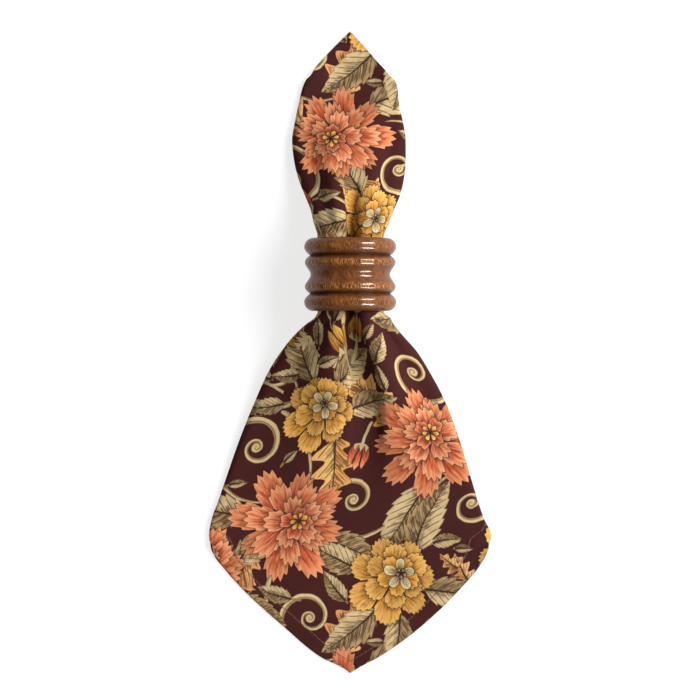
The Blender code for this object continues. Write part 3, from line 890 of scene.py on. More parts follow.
def paint_vine(node, at):
    """A bent stem, or a scroll where curl is 1. far and turn place a point about the middle of
    the bend, in shares of its radius and of a full turn."""
    # A scroll closes by the same share in each turn, so its thickness shrinks with it.
    close = node("LOGARITHM", node("MAXIMUM", at.far, 0.01), SCROLL_GROWTH)
    gap = node("FRACT", node("ADD", node("SUBTRACT", at.turn, close), 0.5))
    scroll = node("MULTIPLY", node("SUBTRACT", gap, 0.5), at.far)
    scroll = node("MULTIPLY", scroll, math.log(SCROLL_GROWTH))
    tail_half = node("MapRange", at.far, 0.9, SCROLL_TAIL, 0.125, 0.04)
    scroll_half = node("MINIMUM", node("MULTIPLY_ADD", at.far, *SCROLL_THICK), tail_half)
    spread = node("ABSOLUTE", at.turn)
    thin = node("MULTIPLY", at.thick, STEM_ENDS)
    stem_half = node("MapRange", spread, 0.0, STEM_SPREAD, at.thick, thin)
    gap, half, inside = (
        node("Mix", at.curl, of_stem, of_scroll)
        for of_stem, of_scroll in (
            (node("SUBTRACT", at.far, 1.0), scroll),
            (stem_half, scroll_half),
            (node("LESS_THAN", spread, STEM_SPREAD), node("LESS_THAN", at.far, SCROLL_TAIL)),
        )
    )
    rim = node("SUBTRACT", half, node("ABSOLUTE", gap))
    eye = node("MULTIPLY", node("SUBTRACT", SCROLL_EYE, at.far), at.curl)
    rim = node("MAXIMUM", node("MULTIPLY", rim, inside), eye)
    share = node("DIVIDE", gap, half)
    tone = node("Mix RGBA", node("MapRange", share, -0.2, 0.9), at.Pale, at.Middle)
    # One painted line runs along the inside of a scroll, and a fine one round both.
    inner = node("ABSOLUTE", node("SUBTRACT", share, 0.35))
    inner = node("MULTIPLY", node("MapRange", inner, 0.08, 0.2, 0.6, 0.0), at.curl)
    edge = node("MapRange", rim, 0.0, node("MULTIPLY", at.thick, 0.35), 0.9, 0.0)
    tone = node("Mix RGBA", node("MAXIMUM", inner, edge), tone, at.Dark)
    return node("Mix RGBA", node("GREATER_THAN", rim, 0.0), at.Below, tone)


vine = motif_group("vine", "Below Pale Middle Dark far turn curl thick", paint_vine)

# %% [markdown]
# ## The repeat
#
# A repeat is a square of 200 mm, and on this fold it stands on its corner, so it is charted
# here as a strip that steps half its height from one column to the next. The flowers, some
# buds, stems and scrolls stand where the chart puts them. Leaves spread from under each flower,
# leafy twigs take the larger empty places, and single leaves and buds the small ones, as a
# designer fills a ground. Two motifs that meet go to different layers, as ink goes over ink. A
# seeded draw makes every choice, so the print is the same each time.

# %% The chart
REPEAT = 200.0
STEP = REPEAT / math.sqrt(2)
LOW_TIP, HIGH_TIP = TABLE[0, 0], TABLE[-1, 0]
# kind, place, radius or length in millimetres, turn in degrees, and height over width
FLOWERS = (
    ("red", (-33, -90), 28.5, 12, 1.0),
    ("red", (31, -50), 27.0, 70, 1.1),
    ("red", (-4, 108), 26.0, 200, 1.0),
    ("red", (66, 26), 25.0, 40, 1.0),
    ("yellow", (21, -117), 23.0, 30, 1.0),
    ("yellow", (-25, -34), 20.5, 75, 0.9),
    ("yellow", (12, 62), 20.5, 10, 1.05),
    ("yellow", (-58, 34), 22.0, 50, 1.0),
)
BUDS = (
    ("yellow bud", (-8, -4), 17, 115, 1.0),
    ("yellow bud", (2, 2), 16, 75, 1.0),
    ("red bud", (-27, 66), 16, 120, 1.0),
    ("red bud", (38, 96), 16, 30, 1.0),
    ("yellow bud", (-34, 2), 16, 150, 1.0),
    ("red bud", (-16, 40), 16, 100, 1.0),
)
SCROLLS = (
    ("scroll", (-2, -78), 14, 200, 1.0),
    ("scroll", (57, -80), 13, 30, 1.0),
    ("scroll", (-55, -52), 15, 120, 1.0),
    ("scroll", (26, 90), 14, 300, 1.0),
    ("scroll", (4, 26), 14, 60, 1.0),
    ("scroll", (-32, 84), 14, 10, 1.0),
    ("scroll", (-20, -136), 13, 150, 1.0),
    ("scroll", (34, -14), 14, 250, 1.0),
)
STEMS = (
    ("stem", (-8, -128), 34, 165, 1.0),
    ("stem", (-62, -66), 36, 60, 1.0),
    ("stem", (-30, 40), 40, 20, 1.0),
    ("stem", (40, 62), 34, 120, 1.0),
    ("stem", (-40, 8), 30, 20, 1.0),
)
print("charted:", len(FLOWERS), "flowers,", len(BUDS), "buds,", len(SCROLLS), "scrolls")

# %% Where the motifs lie
VINE_ROOM = 1.5  # to each side of a stem or a scroll's tail, mm
# Discs that cover a motif: how far they lie along it, and their radius, in shares of its length.
DISCS = {
    "flower": ((0.0, 1.02),),
    "bud": ((-0.7, 0.08), (-0.4, 0.08), (-0.1, 0.15), (0.3, 0.36), (0.62, 0.34)),
    "leaf": ((0.12, 0.08), (0.3, 0.2), (0.5, 0.22), (0.7, 0.17), (0.88, 0.08)),
}
DISCS |= {"red": DISCS["flower"], "yellow": DISCS["flower"], "lobed": DISCS["leaf"]}
DISCS |= {"red bud": DISCS["bud"], "yellow bud": DISCS["bud"]}
# The repeat and its eight neighbours.
COPIES = [(STEP * (i + j), STEP * (i - j)) for i in (-1, 0, 1) for j in (-1, 0, 1)]


def heading(turn):
    """The direction at a turn in degrees."""
    return np.array((math.cos(math.radians(turn)), math.sin(math.radians(turn))))


def discs_of(motif):
    """Round places that cover a motif: across, up and radius."""
    kind, place, size, turn, _ = motif
    if kind == "stem":
        turns = turn + 360 * STEM_SPREAD * np.linspace(-1, 1, 13)
        return [(*(place + size * heading(t)), VINE_ROOM) for t in turns]
    if kind == "scroll":
        turns = np.linspace(0, math.log(SCROLL_TAIL, SCROLL_GROWTH), 9)[1:]
        tail = [place + size * SCROLL_GROWTH**t * heading(turn + 360 * t) for t in turns]
        return [(*place, 0.98 * size), *((*spot, VINE_ROOM) for spot in tail)]
    ahead = size * heading(turn)
    return [(*(place + along * ahead), size * radius) for along, radius in DISCS[kind]]


class Ink:
    """One layer of the print: its motifs, and the discs that cover them and their repeats. A
    row for each disc has its place, its radius, its motif's number and its copy's step."""

    def __init__(self, *motifs):
        self.motifs, self.discs = [], np.empty((0, 6))
        for motif in motifs:
            self.put(motif)

    def put(self, motif):
        mine, number = discs_of(motif), len(self.motifs)
        rows = [(x + dx, y + dy, r, number, dx, dy) for dx, dy in COPIES for x, y, r in mine]
        self.discs = np.concatenate((self.discs, rows))
        self.motifs.append(motif)

    def room(self, spots):
        """The distance from each spot to the nearest motif of this layer."""
        apart = [np.hypot(*(spots - disc[:2]).T) - disc[2] for disc in self.discs]
        return np.min(apart, axis=0, initial=STEP)

    def gap(self, motif):
        """The least distance from a motif to those of this layer."""
        mine, rest = np.array(discs_of(motif))[:, None], self.discs[None]
        apart = np.hypot(mine[..., 0] - rest[..., 0], mine[..., 1] - rest[..., 1])
        return (apart - mine[..., 2] - rest[..., 2]).min(initial=STEP)


def least_gap(layers, motif):
    """The least distance from a motif to those of several layers."""
    return min(layer.gap(motif) for layer in layers)


print("a leaf is kept clear by", len(discs_of(("leaf", (0.0, 0.0), 10.0, 0.0, 1.0))), "discs")

# %% Leaves round the flowers
LEAF_LAYERS = 2
LOBED_SHARE = 0.15  # how many leaves are lobed ones in a warm tone
WHORL, WHORL_FOOT, WHORL_LEAN = 6, 0.76, 30  # leaves round a flower
LEAF_LENGTHS = (28, 40)
LEAF_GAP, MOST_OVERLAP = 1.0, 6.0  # between leaves, and how far one may run over a scroll


def place_whorl(chance, flower, leaves, scrolls):
    """Leaves that spread from under a flower, each in the first layer that has room."""
    _, place, radius, *_ = flower
    start = chance.uniform(0, 360)
    for i in range(WHORL):
        angle = start + 360 * (i + chance.uniform(-0.2, 0.2)) / WHORL
        kind = "lobed" if chance.random() < LOBED_SHARE else "leaf"
        lean = chance.uniform(-WHORL_LEAN, WHORL_LEAN)
        foot = tuple(place + radius * WHORL_FOOT * heading(angle))
        motif = (kind, foot, chance.uniform(*LEAF_LENGTHS), angle + lean, 1.0)
        for layer in leaves:
            if layer.gap(motif) > LEAF_GAP and scrolls.gap(motif) > -MOST_OVERLAP:
                layer.put(motif)
                break


print("up to", WHORL, "leaves round each of", len(FLOWERS), "flowers")

# %% Twigs
# Radius of the stem's bend, leaves, their length, and how many places are tried.
TWIGS = ((22, 7, 24, 400), (14, 5, 22, 1500), (9, 3, 19, 2500), (6, 2, 16, 2500))
TWIG_LEAN = 46  # degrees between a twig and its leaves
STALK = 0.26  # a leaf stands off its twig by this share of its length
BUD_KINDS = ("red bud", "yellow bud")
BUD_SHARE, BUD_LENGTH = 0.4, 15.0  # how many twigs end in a bud
CLEAR = 0.2  # between two motifs that fill the ground, mm
STEM_OVERLAP, LEAST_LEAVES = 1.0, 0.6  # a twig stands where most of its leaves have room


def make_twig(chance, radius, count, length):
    """A bent stem somewhere in the repeat, and the leaves along it, the last one at its tip."""
    across = chance.uniform(-STEP / 2, STEP / 2)
    middle = np.array((across, chance.uniform(LOW_TIP, LOW_TIP + 2 * STEP)))
    turn, way = chance.uniform(0, 360), chance.choice((-1, 1))
    kind = "leaf" if chance.random() > LOBED_SHARE else "lobed"
    twig = [("stem", tuple(middle), radius, turn, 1.0)]
    for i in range(count):
        angle = turn + way * 360 * STEM_SPREAD * (2 * (i + 0.6) / (count - 0.4) - 1)
        size, lean = length * chance.uniform(0.85, 1.15), chance.uniform(0.8, 1.2) * TWIG_LEAN
        if i + 1 == count:
            lean = 0.0
            if chance.random() < BUD_SHARE:
                kind, size = str(chance.choice(BUD_KINDS)), BUD_LENGTH
        leaf_turn = angle + way * 90 + lean * (-1) ** i
        foot = middle + radius * heading(angle) + STALK * size * heading(leaf_turn)
        twig.append((kind, tuple(foot), size, leaf_turn, 1.0))
    return twig


def place_twigs(chance, vines, leaves, top, others):
    """Twigs from the largest to the smallest, wherever most of their leaves have room."""
    for radius, count, length, tries in TWIGS:
        for _ in range(tries):
            stem, *twig = make_twig(chance, radius, count, length)
            if vines.gap(stem) < -STEM_OVERLAP:
                continue
            fitting = [motif for motif in twig if least_gap(others, motif) > CLEAR]
            if len(fitting) < LEAST_LEAVES * count:
                continue
            vines.put(stem)
            for motif in fitting:
                (top if motif[0] in BUD_KINDS else leaves).put(motif)


print("twigs to try:", sum(twigs[-1] for twigs in TWIGS))

# %% Single leaves and buds
SPOT, LEAST_ROOM = 2.0, 3.9  # step of the search, and the room that is worth filling, mm
FILL_BUDS = 0.5  # how often a bud is tried first
# Lengths that are tried, in shares of the room, the longest leaf, and how far the middle of a
# bud or a leaf lies from its base.
BUD_FILL, LEAF_FILLS, MOST_FILL = 2.2, (3.4, 2.9, 2.5), 26.0
BUD_MIDDLE, LEAF_MIDDLE = 0.3, 0.55


def fill(chance, leaves, top, others):
    """Puts a single leaf or bud into the widest empty place, again and again."""
    across = np.arange(-STEP / 2, STEP / 2, SPOT)
    up = np.arange(LOW_TIP, LOW_TIP + 2 * STEP, SPOT)
    spots = np.stack(np.meshgrid(across, up), -1).reshape(-1, 2)
    room = np.min([layer.room(spots) for layer in others], axis=0)
    while room.max() > LEAST_ROOM:
        spot, free = spots[room.argmax()], room.max()
        first = "leaf" if chance.random() > FILL_BUDS else str(chance.choice(BUD_KINDS))
        turns = chance.uniform(0, 45) + np.arange(0, 360, 45)
        tried = []
        for kind, length in [(first, BUD_FILL), *(("leaf", length) for length in LEAF_FILLS)]:
            size = min(length * free, MOST_FILL)
            share = BUD_MIDDLE if kind in BUD_KINDS else LEAF_MIDDLE
            for turn in turns:
                tried.append((kind, tuple(spot - share * size * heading(turn)), size, turn, 1.0))
        fitting = next((motif for motif in tried if least_gap(others, motif) > CLEAR), None)
        if fitting is None:
            room[room.argmax()] = 0.0
            continue
        (top if fitting[0] in BUD_KINDS else leaves).put(fitting)
        room = np.minimum(room, Ink(fitting).room(spots))


print("a free spot is tried with", 1 + len(LEAF_FILLS), "sizes of leaf and bud")

# %% Compose one repeat
SEED = 11


def compose():
    """Every motif of one repeat, in layers from the lowest."""
    chance = np.random.default_rng(SEED)
    scrolls, vines, top = Ink(*SCROLLS), Ink(*SCROLLS, *STEMS), Ink(*FLOWERS, *BUDS)
    leaves = [Ink() for _ in range(LEAF_LAYERS)]
    others = (*leaves, top, scrolls)
    for flower in FLOWERS:
        place_whorl(chance, flower, leaves, scrolls)
    place_twigs(chance, vines, leaves[0], top, others)
    fill(chance, leaves[0], top, others)
    return vines, *leaves, top


layers = compose()
print("motifs in one repeat:", [len(layer.motifs) for layer in layers])

# %% Lay the print on the cloth
KINDS = {"stem": 0, "scroll": 1, "leaf": 0, "lobed": 1}
KINDS |= {"red": 0, "yellow": 1, "red bud": 2, "yellow bud": 3}
NEIGHBOUR = 60  # discs within this distance of a repeat are looked at
MOST_AT_ONCE = 8_000_000  # distances that are worked out together


def read(data, name, kind=int, width=1):
    """One value, or one vector, of every element of a mesh."""
    values = np.zeros(len(data) * width, kind)
    data.foreach_get(name, values)
    return values


def nearest_disc(spots, discs):
    """For each spot the row of the disc that it is in, or nearest to."""
    nearest = np.empty(len(spots), int)
    parts = 1 + len(spots) * len(discs) // MOST_AT_ONCE
    for some in np.array_split(np.arange(len(spots)), parts):
        across, up = (spots[some, None] - discs[:, :2]).transpose(2, 0, 1)
        nearest[some] = np.argmin(np.hypot(across, up) - discs[:, 2], 1)
    return discs[nearest]


def lay_print(mesh):
    """Gives each corner of the mesh its place in the motif that lies on its face, for each layer
    of the print: (u, v, kind) and (size, seed, 0). All of a face's corners use the same motif."""
    flat = read(mesh.attributes["flat"].data, "vector", float, 3).reshape(-1, 3)
    a, b = flat[read(mesh.loops, "vertex_index"), :2].T
    place = np.stack(((a - b) / math.sqrt(2), HIGH_TIP - (a + b) / math.sqrt(2)), 1)
    starts, totals = read(mesh.polygons, "loop_start"), read(mesh.polygons, "loop_total")
    face_of = np.repeat(np.arange(len(totals)), totals)
    middle = np.add.reduceat(place, starts) / totals[:, None]
    # The repeat's own steps, counted along its two sides.
    one, two = (np.round(middle @ side / (2 * STEP)) for side in ((1, 1), (1, -1)))
    shift = STEP * np.stack((one + two, one - two), 1)
    middle, place = middle - shift, place - shift[face_of]
    for number, layer in enumerate(layers):
        table = np.array(
            [
                (x, y, size, math.radians(turn), tall, KINDS[kind], i)
                for i, (kind, (x, y), size, turn, tall) in enumerate(layer.motifs)
            ]
        )
        close = np.abs(layer.discs[:, :2]).sum(1) < STEP + NEIGHBOUR
        chosen = nearest_disc(middle, layer.discs[close])[face_of]
        x, y, size, turn, tall, kind, seed = table[chosen[:, 3].astype(int)].T
        dx, dy = (place - chosen[:, 4:]).T - (x, y)
        u = (dx * np.cos(turn) + dy * np.sin(turn)) / size
        v = (dy * np.cos(turn) - dx * np.sin(turn)) / size / tall
        for name, values in (("motif", (u, v, kind)), ("size", (size, seed, 0 * seed))):
            made = mesh.attributes.new(f"{name}_{number}", "FLOAT_VECTOR", "CORNER")
            made.data.foreach_set("vector", np.stack(values, 1).ravel())


lay_print(sheet.data)
print("attributes:", [attribute.name for attribute in sheet.data.attributes])

# %% [markdown]
# ## Printed cotton
#
# The cloth is a plain weave of cotton, with one or two threads to the millimetre and a narrow
# hem. The inks are flat earth colours that soak in, so the face stays matt. All are laid by the
# same recipe: read where the point lies in its motif, bend that a little so that no line is
# ruled, and paint the motif over what is below. The print follows the flat square, so it bends
# and turns under with the cloth.

# %% The inks
INKS = {
    "ground": "#3e1a18",
    "line": "#2c1011",
    "leaf pale": "#c6ac7f",
    "leaf": "#886b45",
    "leaf dark": "#2f1a12",
    "sepal": "#ad9b70",
    "stitch": "#6b4a43",
}
INKS = {name: linear(ink) for name, ink in INKS.items()}


def petal_rings(*rings):
    """The rings of a flower from the outermost: tip, middle and base colour, count, turn, reach,
    notch, fringe and teeth."""
    return [(*map(linear, ring[:3]), *ring[3:]) for ring in rings]


RED = petal_rings(
    ("#d58e62", "#b95937", "#75291b", 8, 0.0, 1.0, 0.5, 0.22, 3.2),
    ("#d9996c", "#bf623e", "#7c2e1e", 7, 0.4, 0.76, 0.5, 0.20, 3.0),
    ("#dba175", "#c26b48", "#833524", 5, 0.2, 0.52, 0.5, 0.15, 2.6),
    ("#d38e62", "#ac5034", "#6c261b", 4, 0.7, 0.30, 0.5, 0.10, 1.5),
    ("#e3bd72", "#d3a04a", "#7c3f22", 7, 0.1, 0.17, 0.8, 0.0, 1.0),
)
YELLOW = petal_rings(
    ("#d9a75b", "#c0873a", "#6f421a", 7, 0.0, 1.0, 0.3, 0.12, 4.2),
    ("#dbab60", "#c38b3d", "#73451c", 6, 0.5, 0.74, 0.3, 0.10, 3.6),
    ("#d7a456", "#b87e33", "#643a16", 5, 0.2, 0.46, 0.4, 0.08, 2.4),
    ("#d3c295", "#b3a074", "#66543a", 5, 0.7, 0.36, 0.9, 0.0, 1.0),
    ("#ac9a70", "#8f7c57", "#54402a", 5, 0.2, 0.12, 0.3, 0.0, 1.0),
)
RING_SHIFTS = (0.0, 0.07, 0.14, 0.19, 0.22)  # a flower is seen a little from one side
# A bud's tip, middle and base, red and yellow, and a lobed leaf's two washes, pale and middle.
BUD_INKS = (("#dd9d75", "#ddac5d"), ("#c96345", "#c9913e"), ("#9e4030", "#9c6627"))
LOBED_INKS = (("#dba27c", "#deb266"), ("#cf7f58", "#c58d45"))
BUD_INKS, LOBED_INKS = ([[*map(linear, two)] for two in inks] for inks in (BUD_INKS, LOBED_INKS))
# Width, teeth, their depth, and veins, for a toothed leaf and a lobed one.
LEAF_SHAPES = ((0.265, 0.36), (7.0, 3.5), (0.17, 0.60), (8.0, 7.0))
print("inks:", len({ink for row in RED + YELLOW for ink in row[:3]} | set(INKS.values())))

# %% Draw the print
LINE = 0.6  # the drawn lines, mm
STEM_HALF = 2.2  # half the width of a stem, in lines
LEAF_BEND = (0.14, -0.10)  # how far a leaf's tip bends to one side, and is turned back
WARP, WARP_SCALE = 1.1, 1 / 8  # how far a line strays, mm, and over what distance
WASH_SCALE = 1 / 22  # over what distance the ink is laid thicker or thinner


def polar(node, u, v):
    """How far a point lies from the middle of its motif, and at what share of a full turn."""
    far = node("VectorMath LENGTH", node("CombineXYZ", u, v, 0.0))
    return far, node("MULTIPLY", node("ARCTAN2", v, u), 1 / (2 * math.pi))


def place_in(node, number, stray):
    """Where the point lies in its motif of this layer, and the motif's kind, seed and line."""
    motif, size = (
        node("Attribute", attribute_name=f"{name}_{number}").node.outputs["Vector"]
        for name in ("motif", "size")
    )
    size, seed, _ = node("SeparateXYZ", size).node.outputs
    kind = node("SeparateXYZ", motif).node.outputs[2]
    share = node("VectorMath DIVIDE", stray, node("CombineXYZ", size, size, 1.0))
    u, v, _ = node("SeparateXYZ", node("VectorMath ADD", motif, share)).node.outputs
    return u, v, kind, seed, node("DIVIDE", LINE, size)


def draw_print(node, flat):
    """The ground with every layer of motifs on it: vines, leaves, and flowers and buds."""
    stray = node("TexNoise", flat, WARP_SCALE, 2.0, 0.5).node.outputs["Color"]
    stray = node("VectorMath SCALE", node("VectorMath SUBTRACT", stray, (0.5, 0.5, 0.5)), WARP)
    u, v, kind, seed, line = place_in(node, 0, stray)
    pale, middle, dark = (INKS[name] for name in ("leaf pale", "leaf", "leaf dark"))
    values = (*polar(node, u, v), kind, node("MULTIPLY", line, STEM_HALF))
    colour = node("Group", INKS["ground"], pale, middle, dark, *values, node_tree=vine)
    for number in range(1, 1 + LEAF_LAYERS):
        u, v, kind, seed, line = place_in(node, number, stray)
        bend = node("MULTIPLY_ADD", node("MULTIPLY", u, u), LEAF_BEND[0], v)
        bend = node("MULTIPLY_ADD", u, LEAF_BEND[1], bend)
        own = node("FRACT", node("MULTIPLY", seed, 0.37))
        warm = [node("Mix RGBA", own, *pair) for pair in LOBED_INKS]
        inks = [node("Mix RGBA", kind, *pair) for pair in zip((pale, middle), warm)]
        shape = [node("Mix", kind, *pair) for pair in LEAF_SHAPES]
        values = (u, bend, seed, *shape, kind, line)
        colour = node("Group", colour, *inks, dark, *values, node_tree=leaf)
    u, v, kind, seed, line = place_in(node, 1 + LEAF_LAYERS, stray)
    yellow, closed = node("MODULO", kind, 2.0), node("GREATER_THAN", kind, 1.5)
    opened = node("SUBTRACT", 1.0, closed)
    for shift, red_ring, yellow_ring in zip(RING_SHIFTS, RED, YELLOW):
        far, turn = polar(node, node("SUBTRACT", u, shift), v)
        inks = [node("Mix RGBA", yellow, *pair) for pair in zip(red_ring[:3], yellow_ring[:3])]
        shape = [node("Mix", yellow, *pair) for pair in zip(red_ring[3:], yellow_ring[3:])]
        count, phase, reach, notch, fringe, teeth = shape
        reach, fringe = (node("MULTIPLY", value, opened) for value in (reach, fringe))
        values = (far, turn, seed, count, phase, reach, notch, fringe, teeth, line)
        colour = node("Group", colour, *inks, INKS["line"], *values, node_tree=petals)
    inks = (*(node("Mix RGBA", yellow, *pair) for pair in BUD_INKS), INKS["line"], INKS["sepal"])
    colour = node("Group", colour, *inks, u, v, seed, line, closed, node_tree=bud)
    wash = node("MapRange", node("TexNoise", flat, WASH_SCALE, 4.0, 0.6), 0.3, 0.7, 0.90, 1.08)
    return node("HueSaturation", 0.5, 1.0, wash, 1.0, colour)

# %% Printed cotton
THREAD = 0.5  # between two threads of the cloth, mm
DRAWN_THREAD = 0.75  # drawn a little coarser, so that it shows
THREAD_HEIGHT = 0.07
HEM, HEM_RISE = 8.0, 0.22  # the hem is folded to the back and stands up by one more layer
HEM_ROUND = 0.4  # half the width of the step at its edge
STITCH_IN, STITCH, STITCH_LONG, STITCH_WIDE = 7.0, 2.6, 0.72, 0.4
STITCH_RISE, STITCH_PULL, PULL_WIDE = 0.2, 0.16, 1.6


def new_material(name):
    """A material, a function that adds its nodes, and one that gives a socket of its shader a
    value or a node's output."""
    material = bpy.data.materials.new(name)
    material.use_nodes = True
    tree = material.node_tree

    def give(socket, value):
        socket = tree.nodes["Principled BSDF"].inputs[socket]
        if isinstance(value, bpy.types.NodeSocket):
            tree.links.new(value, socket)
        else:
            socket.default_value = value

    return material, partial(add, tree), give


def hem_stitches(node, warp, weft, edge):
    """The row of stitches along the hem: the thread's cover, and how it pulls the cloth down."""
    sides = [node("ABSOLUTE", way) for way in (warp, weft)]
    along = node("Mix", node("GREATER_THAN", *sides), warp, weft)
    dash = node("PINGPONG", node("FRACT", node("MULTIPLY", along, 1 / STITCH)), 0.5)
    dash = node("MapRange", dash, STITCH_LONG / 2, 0.5, 1.0, 0.0)
    off = node("ABSOLUTE", node("SUBTRACT", edge, STITCH_IN))
    thread = node("MapRange", off, STITCH_WIDE / 2, STITCH_WIDE, 1.0, 0.0)
    thread = node("MULTIPLY", node("GREATER_THAN", dash, 0.5), thread)
    return thread, node("MapRange", off, 0.0, PULL_WIDE, -STITCH_PULL, 0.0)


def printed_cotton():
    """Cotton of a plain weave, screen printed and hemmed. It is quite matt: the weave breaks up
    what little gloss the threads have."""
    material, node, give = new_material("printed_cotton")
    flat = node("Attribute", attribute_name="flat").node.outputs["Vector"]
    warp, weft, edge = node("SeparateXYZ", flat).node.outputs
    # Over and under: each crossing is a small round cushion, and each thread has its own weight.
    crossing = [
        node("ABSOLUTE", node("SINE", node("MULTIPLY", way, math.pi / DRAWN_THREAD)))
        for way in (warp, weft)
    ]
    weave = node("MULTIPLY", *crossing)
    slubs = [
        node("TexNoise", node("VectorMath MULTIPLY", flat, stretch), 1.0, 2.0, 0.5)
        for stretch in ((1 / THREAD, 0.03, 1.0), (0.03, 1 / THREAD, 1.0))
    ]
    slub = node("ADD", *slubs)
    height = node("MULTIPLY", node("ADD", weave, slub), THREAD_HEIGHT)
    step = node("MapRange", edge, HEM - HEM_ROUND, HEM + HEM_ROUND, HEM_RISE, 0.0)
    thread, pull = hem_stitches(node, warp, weft, edge)
    height = node("ADD", node("ADD", height, step), pull)
    give("Normal", node("Bump", 1.0, MM, None, node("MULTIPLY_ADD", thread, STITCH_RISE, height)))
    colour = node("Mix RGBA", node("MULTIPLY", thread, 0.7), draw_print(node, flat), INKS["stitch"])
    # The colour follows the weave: a little darker in the hollows between the crossings, as painted
    # shade, and varied with each thread's weight.
    value = node("MULTIPLY_ADD", weave, 0.16, node("MULTIPLY_ADD", slub, 0.22, 0.70))
    give("Base Color", node("HueSaturation", 0.5, 1.0, value, 1.0, colour))
    give("Roughness", 0.85)
    give("Specular IOR Level", 0.05)
    return material


sheet.data.materials.clear()
sheet.data.materials.append(printed_cotton())
print("cotton nodes:", len(sheet.data.materials[0].node_tree.nodes))

# %% [markdown]
# ## Varnished wood
#
# The ring is a stained hardwood such as acacia or sheesham. The grain runs along its axis, so a
# lathe leaves it as short dashes on each bead. Stain stays in the grooves and rubs off the
# crests, and the dark colour in the grooves is also painted shade. A thick varnish gives the small
# hard highlights.

# %% Turned, stained and varnished wood
GRAIN_WIDE, GRAIN_LONG = 0.9, 7.0  # a streak of grain, mm
BAND_WIDE, BAND_LONG = 5.0, 40.0  # a paler or darker band of the wood
PORE_WIDE, PORE_LONG = 0.45, 2.6  # a pore, drawn a little wider than a real one
WORN_FROM, WORN_TO = 21.4, 22.4  # radius where the stain starts to be rubbed off, and is thin
BEADS_PART = (8.5, 10.0)  # from the middle: the narrow beads end, and the wide ones begin
STAIN_AND_SHADE_WIDE = (0.3, 2.0)  # how far the dark stain and painted shade reach from the bottom of a groove
TOOL_MARKS, MARK_HEIGHT = 2.6, 0.05  # marks in one millimetre, and their height
WOOD = {"dark": "#542c13", "pale": "#7d4820", "worn": "#bd8340", "pore": "#341a0e"}
WOOD = {name: linear(tone) for name, tone in (WOOD | {"groove_stain_and_shade": "#2c170c"}).items()}


def varnished_wood():
    """Brown hardwood under varnish: streaks and dark pores below a hard clear gloss."""
    material, node, give = new_material("varnished_hardwood")
    place = node("TexCoord").node.outputs["Object"]
    place = node("VectorMath SUBTRACT", place, tuple(RING_AXIS))
    place = node("VectorMath SCALE", place, 1 / MM)
    x, y, z = node("SeparateXYZ", place).node.outputs
    radius = node("VectorMath LENGTH", node("CombineXYZ", x, 0.0, z))

    def fibres(wide, long, detail, roughness):
        """Noise that is drawn out along the grain, which runs along the ring."""
        drawn = node("VectorMath MULTIPLY", place, (1 / wide, 1 / long, 1 / wide))
        return node("TexNoise", drawn, 1.0, detail, roughness)

    grain = fibres(GRAIN_WIDE, GRAIN_LONG, 3.0, 0.6)
    bands = fibres(BAND_WIDE, BAND_LONG, 2.0, 0.5)
    pores = fibres(PORE_WIDE, PORE_LONG, 1.0, 0.5)
    tone = node("MULTIPLY_ADD", grain, 0.9, node("MULTIPLY", bands, 0.7))
    tone = node("MapRange", tone, 0.6, 1.0)
    colour = node("Mix RGBA", tone, WOOD["dark"], WOOD["pale"])
    # The stain is rubbed off the crests, most of all off the two narrow beads.
    from_middle = node("ABSOLUTE", y)
    worn = node("MapRange", radius, WORN_FROM, WORN_TO)
    worn = node("MULTIPLY", worn, node("MapRange", from_middle, *BEADS_PART, 0.8, 0.3))
    worn = node("MULTIPLY", node("MapRange", pores, 0.50, 0.64), worn)
    colour = node("Mix RGBA", worn, colour, WOOD["worn"])
    dark = node("MapRange", pores, 0.44, 0.34, 0.0, 0.6)
    colour = node("Mix RGBA", dark, colour, WOOD["pore"])
    # Dark stain and painted shade, towards the bottom of each groove.
    groove_stain_and_shade = node("ABSOLUTE", node("SUBTRACT", from_middle, GROOVE_AT))
    groove_stain_and_shade = node("MapRange", groove_stain_and_shade, *STAIN_AND_SHADE_WIDE, 0.6, 0.0)
    give("Base Color", node("Mix RGBA", groove_stain_and_shade, colour, WOOD["groove_stain_and_shade"]))
    # Tool marks round the ring, and pores that the varnish has not quite filled.
    marks = node("TexNoise", node("CombineXYZ", 0.0, y, 0.0), TOOL_MARKS, 2.0, 0.6)
    height = node("MULTIPLY_ADD", marks, MARK_HEIGHT, node("MULTIPLY", dark, -MARK_HEIGHT))
    give("Normal", node("Bump", 0.6, MM, None, height))
    give("Roughness", node("MapRange", grain, 0.3, 0.7, 0.36, 0.5))
    varnish = {"IOR": 1.5, "Specular IOR Level": 0.05, "Coat Weight": 0.45}
    for name, value in (varnish | {"Coat Roughness": 0.13, "Coat IOR": 1.42}).items():
        give(name, value)
    return material


ring.data.materials.append(varnished_wood())
print("wood nodes:", len(ring.data.materials[0].node_tree.nodes))

# %% [markdown]
# ## The table and the light
#
# The piece lies on the matt opal plate of a light table. The plate is lit from below, so the
# shadow on it stays faint. Two strips beside the piece draw the small highlights on the varnish
# and do nothing else, and one large lamp gives the forms their light and shade. Splitting the
# light like this lets each be placed for its own job.

# %% Floor and lights
FLOOR_HALF, FLOOR_GAP = 6.0, 0.02 * MM  # the gap keeps the floor from showing through the cloth
SKY = 0.26
# Direction from the ring, distance, size and power, in metres and watts.
STRIPS = [((0.78, 0.70 * way, 0.63), 1.2, (0.62, 0.28), 36) for way in (-1, 1)]
KEY = ((0.70, 0.2, 0.68), 1.8, (1.1, 1.1), 58)


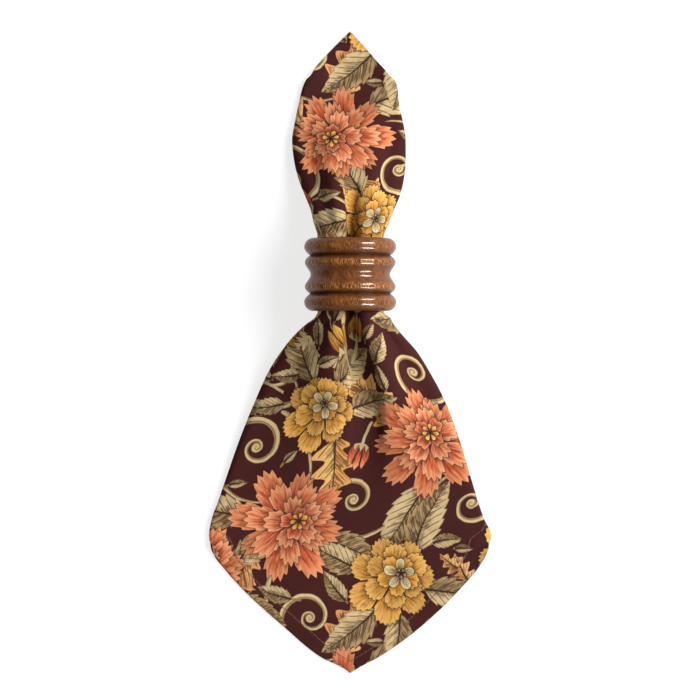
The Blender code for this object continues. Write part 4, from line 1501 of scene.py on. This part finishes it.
def soft_light(name, towards, distance, size, power):
    """A rectangular light that faces the ring from that direction."""
    data = bpy.data.lights.new(name, "AREA")
    data.shape, data.energy = "RECTANGLE", power
    data.size, data.size_y = size
    light = bpy.data.objects.new(name, data)
    towards = Vector(towards).normalized()
    side = Vector((0, 1, 0)).cross(towards).normalized()
    turned = Matrix((side, towards.cross(side), towards)).transposed().to_4x4()
    light.matrix_world = Matrix.Translation(RING_AXIS + towards * distance) @ turned
    bpy.context.collection.objects.link(light)
    return light


bm = bmesh.new()
bmesh.ops.create_grid(bm, x_segments=1, y_segments=1, size=FLOOR_HALF)
bmesh.ops.translate(bm, verts=bm.verts, vec=(0, 0, -FLOOR_GAP))
floor = new_piece(bm, "floor")
for strip in STRIPS:
    soft_light("strip", *strip).visible_diffuse = False
soft_light("key", *KEY).visible_glossy = False
world = bpy.data.worlds.new("studio")
world.use_nodes = True
sky = world.node_tree.nodes["Background"].inputs
sky["Color"].default_value, sky["Strength"].default_value = (1, 1, 1, 1), SKY
bpy.context.scene.world = world
bpy.context.scene.view_settings.view_transform = "Standard"
print("lights:", [light.name for light in bpy.data.lights])

# %% Opal plate
FLOOR_GLOW = 0.76
TOOTH = 900.0  # grains of the matt surface in one metre


def opal_plate():
    """The matt opal plate of a light table, with a very faint tooth."""
    material, node, give = new_material("opal_plate")
    tooth = node("TexNoise", node("TexCoord").node.outputs["Object"], TOOTH, 2.0, 0.5)
    give("Base Color", node("Mix RGBA", tooth, linear("#858483"), linear("#8b8b8b")))
    give("Roughness", 0.9)
    give("Emission Color", (1, 1, 1, 1))
    give("Emission Strength", FLOOR_GLOW)
    return material


floor.data.materials.append(opal_plate())
print("the floor is of", floor.data.materials[0].name)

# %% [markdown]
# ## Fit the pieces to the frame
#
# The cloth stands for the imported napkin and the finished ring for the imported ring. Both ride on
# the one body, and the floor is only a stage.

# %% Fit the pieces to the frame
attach(sheet, "root")
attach(ring, "root")
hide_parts("napkin")
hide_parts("ring")
print("finished pieces:", sheet.name, "and", ring.name)
